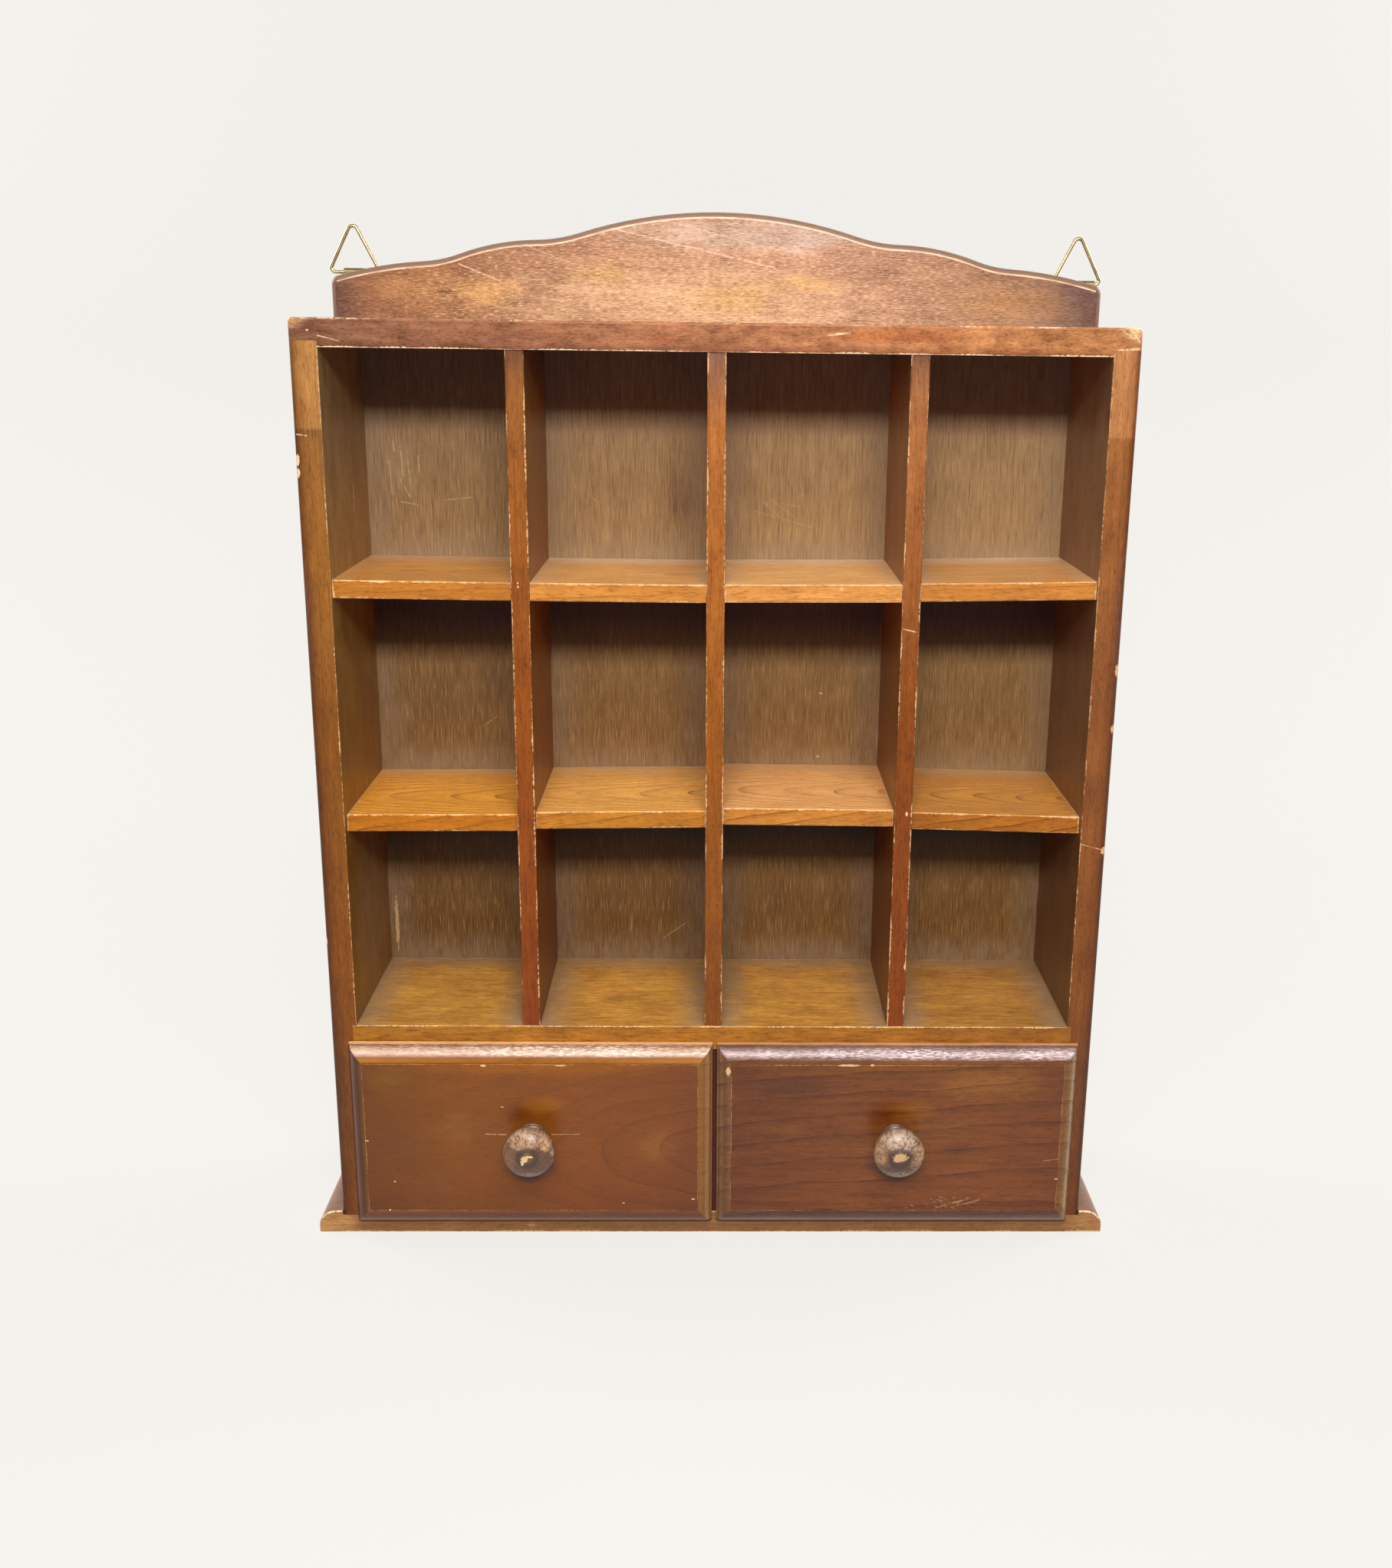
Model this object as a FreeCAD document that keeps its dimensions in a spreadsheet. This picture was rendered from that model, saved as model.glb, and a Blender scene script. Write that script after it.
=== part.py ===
"""Trinket shelf with two drawers: a small wooden cabinet with twelve cubbies,
an arched crest, two lipped drawers and two wire hangers.

Frame: millimetres, origin at the middle of the base board's underside,
X to the right, Y from the front to the back, Z up.
"""
import FreeCAD
import Part
import Sketcher
import math
import os
import re

DOC = FreeCAD.newDocument("trinket_shelf")
V3 = FreeCAD.Vector

# Every size that can be set by itself: name, value in mm or degrees, meaning.
SIZES = [
    ("carcass_width", 300.0, "outside of one side board to outside of the other"),
    ("carcass_depth", 75.5, "front edges to the back of the side boards"),
    ("carcass_height", 357.0, "table to the upper face of the top board"),
    ("side_thickness", 10.0, "side boards"),
    ("top_thickness", 10.0, "top board"),
    ("base_thickness", 9.3, "base board"),
    ("base_projection", 9.65, "base board past each side board"),
    ("base_end_round", 6.5, "roundover on the ends of the base board"),
    ("top_let_in", 2.2, "side boards let up into the ends of the top board"),
    ("base_let_in", 1.7, "side boards let down into the base board"),
    ("deck_let_in", 1.5, "deck board let into each side board"),
    ("outer_round", 1.8, "eased outer corners of sides, top and base"),
    ("arris_round", 0.6, "softened front edges of the thin boards"),
    ("deck_height", 90.8, "table to the upper face of the deck over the drawers"),
    ("deck_thickness", 9.5, "deck board"),
    ("divider_thickness", 6.8, "upright dividers"),
    ("divider_setback", 0.6, "front edges of the dividers behind the sides"),
    ("divider_1_x", -71.6, "centre of the left divider"),
    ("divider_2_x", -0.3, "centre of the middle divider"),
    ("divider_3_x", 71.7, "centre of the right divider"),
    ("shelf_thickness", 6.8, "short shelves"),
    ("shelf_setback_1", 2.2, "upper row of shelves behind the sides"),
    ("shelf_setback_2", 4.8, "lower row of shelves behind the sides"),
    ("shelf_11_left", 265.3, "upper face of the shelf at its left end"),
    ("shelf_11_right", 264.9, "upper face of the shelf at its right end"),
    ("shelf_12_left", 264.9, "upper face of the shelf at its left end"),
    ("shelf_12_right", 264.7, "upper face of the shelf at its right end"),
    ("shelf_13_left", 264.9, "upper face of the shelf at its left end"),
    ("shelf_13_right", 265.5, "upper face of the shelf at its right end"),
    ("shelf_14_left", 265.9, "upper face of the shelf at its left end"),
    ("shelf_14_right", 267.2, "upper face of the shelf at its right end"),
    ("shelf_21_left", 175.5, "upper face of the shelf at its left end"),
    ("shelf_21_right", 176.0, "upper face of the shelf at its right end"),
    ("shelf_22_left", 176.9, "upper face of the shelf at its left end"),
    ("shelf_22_right", 177.8, "upper face of the shelf at its right end"),
    ("shelf_23_left", 179.0, "upper face of the shelf at its left end"),
    ("shelf_23_right", 178.6, "upper face of the shelf at its right end"),
    ("shelf_24_left", 177.7, "upper face of the shelf at its left end"),
    ("shelf_24_right", 176.3, "upper face of the shelf at its right end"),
    ("panel_thickness", 3.0, "plywood back panel"),
    ("panel_rabbet", 5.0, "rabbet for the back panel in the side boards"),
    ("panel_rabbet_ends", 4.0, "rabbet for the back panel in top and base"),
    ("panel_clearance", 0.2, "back panel short of each rabbet's end"),
    ("crest_thickness", 8.0, "crest board"),
    ("crest_inset", 0.75, "crest board inside each side board"),
    ("crest_rise", 41.1, "top board to the highest point of the crest"),
    ("crest_round", 2.4, "roundover along the front edge of the crest"),
    ("crest_corner", 3.0, "rounded upper corners of the crest"),
    ("crest_swell_radius", 178.5, "middle swell of the crest"),
    ("crest_swell_angle", 17.36, "half sweep of the middle swell"),
    ("crest_hollow_radius", 61.9, "hollow beside the middle swell"),
    ("crest_hollow_angle", 16.03, "sweep of that hollow"),
    ("crest_shoulder_radius", 93.7, "shoulder outside the hollow"),
    ("crest_shoulder_angle", 18.52, "sweep of the shoulder"),
    ("crest_dip_radius", 49.1, "outer hollow"),
    ("crest_dip_angle", 16.27, "sweep of the outer hollow"),
    ("crest_tail_radius", 158.6, "last curve down to the end"),
    ("partition_x", 0.5, "centre of the partition between the drawers"),
    ("partition_thickness", 6.8, "partition between the drawers"),
    ("front_gap", 1.8, "gap between the two drawer fronts"),
    ("front_lap_left", 3.2, "left drawer front lapping over the side board"),
    ("front_lap_right", 4.2, "right drawer front lapping over the side board"),
    ("front_lap_top", 2.9, "drawer fronts lapping over the deck board"),
    ("front_lap_base", 2.5, "drawer fronts lapping over the base board"),
    ("front_seat_gap", 0.3, "closed drawer front short of the carcass"),
    ("lip_thickness", 1.8, "plain outer edge of the drawer front"),
    ("moulding_quirk", 0.5, "small step outside the roundover"),
    ("moulding_round", 4.3, "roundover round the drawer front"),
    ("moulding_edge", 0.1, "square edge left outside the roundover"),
    ("field_inset_ends", 5.6, "ends of the drawer front to its raised field"),
    ("field_inset_edges", 6.7, "upper and lower edge of the drawer front to its raised field"),
    ("field_rise", 0.4, "raised field above the roundover"),
    ("front_plug", 3.2, "part of the drawer front inside the opening"),
    ("drawer_side_gap", 0.5, "drawer box to the opening on each side"),
    ("drawer_run_gap", 0.3, "drawer box over the base board"),
    ("drawer_top_gap", 1.2, "drawer box under the deck board"),
    ("drawer_back_gap", 2.0, "closed drawer box short of the back panel"),
    ("drawer_side_thickness", 5.5, "drawer sides"),
    ("drawer_back_thickness", 5.5, "drawer back"),
    ("drawer_back_drop", 2.5, "drawer back below the tops of the drawer sides"),
    ("drawer_bottom_thickness", 2.6, "plywood drawer bottom"),
    ("drawer_groove_depth", 2.2, "grooves that hold the drawer bottom"),
    ("drawer_groove_height", 3.5, "lower edge of the drawer side to its groove"),
    ("drawer_groove_clearance", 0.1, "drawer bottom to the groove all round"),
    ("knob_diameter", 20.0, "turned knob"),
    ("knob_height", 17.0, "drawer front to the top of the knob"),
    ("knob_dome", 4.6, "dome of the knob above its widest line"),
    ("knob_shoulder", 2.4, "radius between the widest line and the crown"),
    ("knob_rim", 1.1, "radius under the widest line"),
    ("knob_foot_diameter", 11.0, "foot of the knob on the drawer front"),
    ("knob_foot_height", 1.2, "straight edge of the foot"),
    ("knob_neck_diameter", 8.4, "narrowest part of the knob"),
    ("knob_neck_height", 4.2, "drawer front to the narrowest part"),
    ("knob_cove", 6.0, "radius of the hollow between the neck and the head"),
    ("screw_diameter", 3.2, "knob screw shank"),
    ("screw_bite", 9.0, "length of the knob screw inside the knob"),
    ("screw_head_diameter", 6.4, "knob screw head"),
    ("screw_head_height", 2.0, "knob screw head"),
    ("screw_clearance", 0.1, "hole round the knob screw and past its tip"),
    ("wire_diameter", 1.4, "hanger wire"),
    ("ring_base", 17.8, "hanger ring along its straight base, between wire centres"),
    ("ring_height", 17.1, "hanger ring from base to tip, between wire centres"),
    ("ring_corner", 1.6, "lower bends of the ring at the wire centre"),
    ("ring_tip", 1.9, "upper bend of the ring at the wire centre"),
    ("hanger_left_rise", 17.6, "top board to the hinge line of the left hanger"),
    ("hanger_right_rise", 16.6, "top board to the hinge line of the right hanger"),
    ("hanger_left_inset", 8.3, "side board's outside to the centre of the left plate"),
    ("hanger_right_inset", 5.9, "side board's outside to the centre of the right plate"),
    ("ring_left_shift", 0.0, "left ring from the centre of its plate"),
    ("ring_right_shift", -3.2, "right ring slid along its loop"),
    ("strap_width", 8.0, "hanger plate"),
    ("strap_thickness", 0.6, "sheet of the folded hanger plate"),
    ("strap_tail", 13.0, "hinge line to the lower end of the hanger plate"),
    ("strap_clearance", 0.25, "loop of the plate round the wire"),
    ("nail_diameter", 1.3, "hanger nail shank"),
    ("nail_bite", 6.0, "hanger nail inside the crest"),
    ("nail_head_diameter", 2.8, "hanger nail head"),
    ("nail_head_height", 0.6, "hanger nail head"),
    ("nail_first", 4.6, "hinge line to the upper nail"),
    ("nail_spacing", 5.0, "upper nail to the lower nail"),
    ("nail_clearance", 0.05, "hole round each nail and past its tip"),
]

# Places that follow from the sizes: name, formula, meaning.
PLACES = [
    ("front_plane", "-carcass_depth/2", "front edges of the side boards"),
    ("back_plane", "carcass_depth/2", "back of the side boards"),
    ("panel_face", "back_plane-panel_thickness", "front face of the back panel"),
    ("inner_x", "carcass_width/2-side_thickness", "inside face of a side board"),
    ("top_underside", "carcass_height-top_thickness", "underside of the top board"),
    ("deck_underside", "deck_height-deck_thickness", "underside of the deck"),
    ("lip_back", "front_plane-front_seat_gap", "back of the drawer fronts' lips"),
    ("crown_plane", "lip_back-lip_thickness-moulding_edge-moulding_round", "top of the roundover"),
    ("face_plane", "crown_plane-field_rise", "drawer faces"),
    ("box_floor", "base_thickness+drawer_run_gap", "lower edge of the drawer boxes"),
    ("box_top", "deck_underside-drawer_top_gap", "upper edge of the drawer boxes"),
    ("box_back", "panel_face-drawer_back_gap", "back of the drawer boxes"),
    ("knob_z", "(base_thickness-front_lap_base+deck_underside+front_lap_top)/2", "knobs"),
    ("loop_radius", "wire_diameter/2+strap_clearance+strap_thickness", "hanger loop"),
    ("hinge_y", "back_plane+loop_radius", "hinge line of the hangers"),
    ("hanger_left_z", "carcass_height+hanger_left_rise", "hinge line of the left hanger"),
    ("hanger_right_z", "carcass_height+hanger_right_rise", "hinge line of the right hanger"),
    ("hanger_left_x", "hanger_left_inset-carcass_width/2", "left hanger plate"),
    ("hanger_right_x", "carcass_width/2-hanger_right_inset", "right hanger plate"),
]

NAMES = {name for name, _, _ in SIZES} | {name for name, _, _ in PLACES}
SHEET = DOC.addObject("Spreadsheet::Sheet", "Sizes")


def tied(formula):
    """A formula in size names, as an expression on the spreadsheet."""
    return re.sub(r"[A-Za-z_][A-Za-z_0-9]*",
                  lambda m: "Sizes." + m.group(0) if m.group(0) in NAMES else m.group(0),
                  str(formula))


row = 1
for name, value, meaning in SIZES:
    SHEET.set("A%d" % row, name)
    SHEET.set("B%d" % row, str(value))
    SHEET.set("C%d" % row, meaning)
    SHEET.setAlias("B%d" % row, name)
    row += 1
for name, formula, meaning in PLACES:
    SHEET.set("A%d" % row, name)
    SHEET.set("B%d" % row, "=" + formula)
    SHEET.set("C%d" % row, meaning)
    SHEET.setAlias("B%d" % row, name)
    row += 1
DOC.recompute()


def num(formula):
    """The present value of a formula in size names."""
    return float(SHEET.evalExpression(str(formula)))


# How a sketch plane lies: its X and Y axes and the way a pad grows from it.
PLANES = {
    "XY": (FreeCAD.Rotation(0, 0, 0), "z", 1),
    "XZ": (FreeCAD.Rotation(V3(1, 0, 0), 90), "y", -1),
    "YZ": (FreeCAD.Rotation(V3(1, 1, 1), 120), "x", 1),
}
PARTS = []


def new_body(label):
    body = DOC.addObject("PartDesign::Body", label)
    body.Label = label
    PARTS.append(body)
    return body


def new_sketch(body, name, plane, level):
    """An empty sketch parallel to a main plane, at a level along its normal."""
    sketch = DOC.addObject("Sketcher::SketchObject", name)
    body.addObject(sketch)
    turn, axis, _ = PLANES[plane]
    sketch.Placement = FreeCAD.Placement(V3(0, 0, 0), turn)
    sketch.setExpression("Placement.Base." + axis, tied(level))
    return sketch


def outline(sketch, points):
    """A closed polygon whose corners are tied to the sizes."""
    spots = [V3(num(a), num(b), 0) for a, b in points]
    count = len(spots)
    for i in range(count):
        sketch.addGeometry(Part.LineSegment(spots[i], spots[(i + 1) % count]), False)
    for i in range(count):
        sketch.addConstraint(Sketcher.Constraint("Coincident", i, 2, (i + 1) % count, 1))
    for i, (a, b) in enumerate(points):
        for kind, formula, here in (("DistanceX", a, spots[i].x), ("DistanceY", b, spots[i].y)):
            k = sketch.addConstraint(Sketcher.Constraint(kind, -1, 1, i, 1, here))
            sketch.setExpression("Constraints[%d]" % k, tied(formula))


def circles(sketch, spots, diameter):
    """Circles of one diameter at tied centres."""
    for i, (a, b) in enumerate(spots):
        sketch.addGeometry(Part.Circle(V3(num(a), num(b), 0), V3(0, 0, 1), num(diameter) / 2), False)
        for kind, formula in (("DistanceX", a), ("DistanceY", b)):
            k = sketch.addConstraint(Sketcher.Constraint(kind, -1, 1, i, 3, num(formula)))
            sketch.setExpression("Constraints[%d]" % k, tied(formula))
        k = sketch.addConstraint(Sketcher.Constraint("Diameter", i, num(diameter)))
        sketch.setExpression("Constraints[%d]" % k, tied(diameter))


def pad(body, sketch, plane, length):
    """Grow a sketch by a length towards +X, +Y or +Z."""
    feature = DOC.addObject("PartDesign::Pad", "Pad")
    body.addObject(feature)
    feature.Profile = sketch
    feature.Reversed = PLANES[plane][2] < 0
    feature.setExpression("Length", tied(length))
    sketch.Visibility = False
    DOC.recompute()
    return feature


def cut(body, sketch, plane, length):
    """Take a sketch away over a length towards +X, +Y or +Z, and prove it by volume."""
    before = body.Shape.Volume
    feature = DOC.addObject("PartDesign::Pocket", "Pocket")
    body.addObject(feature)
    feature.Profile = sketch
    feature.Reversed = PLANES[plane][2] > 0
    feature.setExpression("Length", tied(length))
    DOC.recompute()
    if body.Shape.Volume >= before - 1e-6:
        raise RuntimeError(body.Label + ": a cut removed nothing")
    return feature


def board(label, x, y, z):
    """A plain board between tied limits along X, Y and Z."""
    body = new_body(label)
    sketch = new_sketch(body, label + "_face", "XZ", y[0])
    outline(sketch, [(x[0], z[0]), (x[1], z[0]), (x[1], z[1]), (x[0], z[1])])
    pad(body, sketch, "XZ", "(%s)-(%s)" % (y[1], y[0]))
    return body


def edges_where(shape, test):
    """Names of the edges whose middle point and direction pass a test."""
    found = []
    for i, edge in enumerate(shape.Edges):
        first, last = edge.ParameterRange
        middle = edge.valueAt((first + last) / 2)
        way = edge.tangentAt((first + last) / 2)
        if test(middle, way):
            found.append("Edge%d" % (i + 1))
    return found


def ease(body, radius, test):
    """Round the edges that pass a test."""
    base = body.Tip
    names = edges_where(base.Shape, test)
    if not names:
        raise RuntimeError(body.Label + ": no edge to round")
    feature = DOC.addObject("PartDesign::Fillet", "Fillet")
    body.addObject(feature)
    feature.Base = (base, names)
    feature.setExpression("Radius", tied(radius))
    DOC.recompute()
    return feature


def near(a, b):
    return abs(a - b) < 1e-4


# Side boards: rounded outer front corner, rabbet for the back panel, housing for the deck.
for label, s in (("side_left", "-1"), ("side_right", "1")):
    body = new_body(label)
    sketch = new_sketch(body, label + "_plan", "XY", "base_thickness-base_let_in")
    outline(sketch, [
        (s + "*carcass_width/2", "front_plane"),
        (s + "*inner_x", "front_plane"),
        (s + "*inner_x", "panel_face"),
        (s + "*(inner_x+panel_rabbet)", "panel_face"),
        (s + "*(inner_x+panel_rabbet)", "back_plane"),
        (s + "*carcass_width/2", "back_plane")])
    pad(body, sketch, "XY", "top_underside+top_let_in-base_thickness+base_let_in")
    outer = num(s + "*carcass_width/2")
    front = num("front_plane")
    ease(body, "outer_round",
         lambda p, d: near(p.x, outer) and near(p.y, front) and abs(d.z) > 0.9)
    inner = num(s + "*inner_x")
    ease(body, "arris_round",
         lambda p, d: near(p.x, inner) and near(p.y, front) and abs(d.z) > 0.9)
    sketch = new_sketch(body, label + "_housing", "XZ", "front_plane")
    outline(sketch, [
        (s + "*(inner_x-1)", "deck_underside"),
        (s + "*(inner_x+deck_let_in)", "deck_underside"),
        (s + "*(inner_x+deck_let_in)", "deck_height"),
        (s + "*(inner_x-1)", "deck_height")])
    cut(body, sketch, "XZ", "carcass_depth")

# Top board: ends rabbeted over the sides, eased edges, rabbet for the back panel.
body = new_body("top_board")
sketch = new_sketch(body, "top_front", "XZ", "front_plane")
outline(sketch, [
    ("-carcass_width/2", "top_underside+top_let_in"),
    ("-inner_x", "top_underside+top_let_in"),
    ("-inner_x", "top_underside"),
    ("inner_x", "top_underside"),
    ("inner_x", "top_underside+top_let_in"),
    ("carcass_width/2", "top_underside+top_let_in"),
    ("carcass_width/2", "carcass_height"),
    ("-carcass_width/2", "carcass_height")])
pad(body, sketch, "XZ", "carcass_depth")
half, front, upper = num("carcass_width/2"), num("front_plane"), num("carcass_height")
ease(body, "outer_round",
     lambda p, d: near(abs(p.x), half) and (near(p.z, upper) or near(p.y, front) and abs(d.z) > 0.9))
ease(body, "arris_round*1.5",
     lambda p, d: near(p.z, upper) and near(p.y, front) and abs(d.x) > 0.9)
sketch = new_sketch(body, "top_rabbet", "XZ", "panel_face")
outline(sketch, [
    ("-inner_x-panel_rabbet", "top_underside-1"),
    ("inner_x+panel_rabbet", "top_underside-1"),
    ("inner_x+panel_rabbet", "top_underside+panel_rabbet_ends"),
    ("-inner_x-panel_rabbet", "top_underside+panel_rabbet_ends")])
cut(body, sketch, "XZ", "panel_thickness")

# Base board: wide rounded ends, shallow housings for the sides, rabbet for the back panel.
body = new_body("base_board")
sketch = new_sketch(body, "base_front", "XZ", "front_plane")
outline(sketch, [
    ("-carcass_width/2-base_projection", "0"),
    ("carcass_width/2+base_projection", "0"),
    ("carcass_width/2+base_projection", "base_thickness"),
    ("carcass_width/2", "base_thickness"),
    ("carcass_width/2", "base_thickness-base_let_in"),
    ("inner_x", "base_thickness-base_let_in"),
    ("inner_x", "base_thickness"),
    ("-inner_x", "base_thickness"),
    ("-inner_x", "base_thickness-base_let_in"),
    ("-carcass_width/2", "base_thickness-base_let_in"),
    ("-carcass_width/2", "base_thickness"),
    ("-carcass_width/2-base_projection", "base_thickness")])
pad(body, sketch, "XZ", "carcass_depth")
half, upper = num("carcass_width/2+base_projection"), num("base_thickness")
ease(body, "base_end_round", lambda p, d: near(abs(p.x), half) and near(p.z, upper))
ease(body, "arris_round",
     lambda p, d: near(abs(p.x), half) and near(p.y, num("front_plane")) and abs(d.z) > 0.9)
sketch = new_sketch(body, "base_rabbet", "XZ", "panel_face")
outline(sketch, [
    ("-inner_x-panel_rabbet", "base_thickness+1"),
    ("inner_x+panel_rabbet", "base_thickness+1"),
    ("inner_x+panel_rabbet", "base_thickness-panel_rabbet_ends"),
    ("-inner_x-panel_rabbet", "base_thickness-panel_rabbet_ends")])
cut(body, sketch, "XZ", "panel_thickness")

# Deck board over the drawers, let into both sides.
body = board("deck_board", ("-inner_x-deck_let_in", "inner_x+deck_let_in"),
             ("front_plane", "panel_face"), ("deck_underside", "deck_height"))
front, upper = num("front_plane"), num("deck_height")
ease(body, "arris_round", lambda p, d: near(p.y, front) and near(p.z, upper) and abs(d.x) > 0.9)

# Three upright dividers between the deck and the top board.
for k in (1, 2, 3):
    body = board("divider_%d" % k,
                 ("divider_%d_x-divider_thickness/2" % k, "divider_%d_x+divider_thickness/2" % k),
                 ("front_plane+divider_setback", "panel_face"), ("deck_height", "top_underside"))
    front = num("front_plane+divider_setback")
    ease(body, "arris_round", lambda p, d: near(p.y, front) and abs(d.z) > 0.9)

# Eight short shelves, each fitted by hand between its uprights, so no two ends are level.
LEFT_FACE = ["-inner_x"] + ["divider_%d_x+divider_thickness/2" % k for k in (1, 2, 3)]
RIGHT_FACE = ["divider_%d_x-divider_thickness/2" % k for k in (1, 2, 3)] + ["inner_x"]
for r in (1, 2):
    for c in (1, 2, 3, 4):
        label = "shelf_r%d_c%d" % (r, c)
        left, right = "shelf_%d%d_left" % (r, c), "shelf_%d%d_right" % (r, c)
        body = new_body(label)
        sketch = new_sketch(body, label + "_face", "XZ", "front_plane+shelf_setback_%d" % r)
        outline(sketch, [
            (LEFT_FACE[c - 1], left + "-shelf_thickness"),
            (RIGHT_FACE[c - 1], right + "-shelf_thickness"),
            (RIGHT_FACE[c - 1], right),
            (LEFT_FACE[c - 1], left)])
        pad(body, sketch, "XZ", "panel_face-front_plane-shelf_setback_%d" % r)
        front = num("front_plane+shelf_setback_%d" % r)
        ease(body, "arris_round", lambda p, d: near(p.y, front) and abs(d.x) > 0.9)

# Plywood back in its rabbets, and the partition between the drawers.
board("back_panel",
      ("-inner_x-panel_rabbet+panel_clearance", "inner_x+panel_rabbet-panel_clearance"),
      ("panel_face", "back_plane"),
      ("base_thickness-panel_rabbet_ends+panel_clearance",
       "top_underside+panel_rabbet_ends-panel_clearance"))
board("drawer_partition",
      ("partition_x-partition_thickness/2", "partition_x+partition_thickness/2"),
      ("front_plane+divider_setback", "panel_face"), ("base_thickness", "deck_underside"))


def crest_arcs():
    """The right half of the crest's outline: five arcs that run on from each other."""
    steps = [("crest_swell", 1), ("crest_hollow", -1), ("crest_shoulder", 1), ("crest_dip", -1)]
    x, z, slope = 0.0, num("carcass_height+crest_rise"), 0.0
    end_x = num("carcass_width/2-crest_inset")
    arcs = []
    for name, side in steps + [("crest_tail", 1)]:
        radius = num(name + "_radius")
        centre = V3(x - side * radius * math.sin(slope), z - side * radius * math.cos(slope), 0)
        if name == "crest_tail":
            after = math.asin((end_x - centre.x) / radius)
        else:
            after = slope + side * math.radians(num(name + "_angle"))
        x = centre.x + side * radius * math.sin(after)
        z = centre.y + side * radius * math.cos(after)
        arcs.append((centre, radius, side, slope, after))
        slope = after
    return arcs, x, z


# Crest board: two mirrored runs of five arcs, rounded along the front edge.
body = new_body("crest_board")
sketch = new_sketch(body, "crest_outline", "XZ", "back_plane-crest_thickness")
arcs, end_x, end_z = crest_arcs()
foot = num("carcass_height")
for mirror in (1, -1):
    for centre, radius, side, before, after in arcs:
        middle = V3(mirror * centre.x, centre.y, 0)
        spread = [math.pi / 2 - mirror * t if side > 0 else -math.pi / 2 - mirror * t
                  for t in (before, after)]
        circle = Part.Circle(middle, V3(0, 0, 1), radius)
        sketch.addGeometry(Part.ArcOfCircle(circle, min(spread), max(spread)), False)
sketch.addGeometry(Part.LineSegment(V3(end_x, end_z, 0), V3(end_x, foot, 0)), False)
sketch.addGeometry(Part.LineSegment(V3(end_x, foot, 0), V3(-end_x, foot, 0)), False)
sketch.addGeometry(Part.LineSegment(V3(-end_x, foot, 0), V3(-end_x, end_z, 0)), False)
pad(body, sketch, "XZ", "crest_thickness")
front = num("back_plane-crest_thickness")
ease(body, "crest_corner",
     lambda p, d: near(abs(p.x), end_x) and near(p.z, end_z) and abs(d.y) > 0.9)
ease(body, "crest_round",
     lambda p, d: near(p.y, front) and p.z > foot + 0.1)
HANGERS = ("left", "right")
NAIL_SPOTS = [("hanger_%s_x" % side, "hanger_%s_z-nail_first-%d*nail_spacing" % (side, k))
              for side in HANGERS for k in (0, 1)]
sketch = new_sketch(body, "nail_holes", "XZ", "back_plane-nail_bite-nail_clearance")
circles(sketch, NAIL_SPOTS, "nail_diameter+2*nail_clearance")
cut(body, sketch, "XZ", "nail_bite+nail_clearance")


def turned(label, points, arcs=()):
    """A body of revolution about its own Z axis, from (radius, height) points.
    An arc (i, bulge point) bends the line that starts at point i."""
    body = new_body(label)
    sketch = new_sketch(body, label + "_profile", "XZ", "0")
    bends = dict(arcs)
    spots = [V3(r, h, 0) for r, h in points]
    for i, here in enumerate(spots):
        there = spots[(i + 1) % len(spots)]
        if i in bends:
            via = V3(bends[i][0], bends[i][1], 0)
            sketch.addGeometry(Part.Arc(here, via, there), False)
        else:
            sketch.addGeometry(Part.LineSegment(here, there), False)
    feature = DOC.addObject("PartDesign::Revolution", "Revolution")
    body.addObject(feature)
    feature.Profile = sketch
    feature.ReferenceAxis = (sketch, ["V_Axis"])
    feature.Angle = 360
    sketch.Visibility = False
    DOC.recompute()
    return body


def face_forward(body, x, y, z):
    """Stand a turned body on a vertical face: its own Z axis points to the front."""
    body.Placement.Rotation = FreeCAD.Rotation(V3(1, 0, 0), 90)
    body.setExpression("Placement.Base.x", tied(x))
    body.setExpression("Placement.Base.y", tied(y))
    body.setExpression("Placement.Base.z", tied(z))


def bulge(start, end, out):
    """A point beside the middle of a line, for an arc through three points."""
    mx, mz = (start[0] + end[0]) / 2, (start[1] + end[1]) / 2
    dx, dz = end[0] - start[0], end[1] - start[1]
    size = math.hypot(dx, dz)
    return (mx + dz / size * out, mz - dx / size * out)


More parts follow.
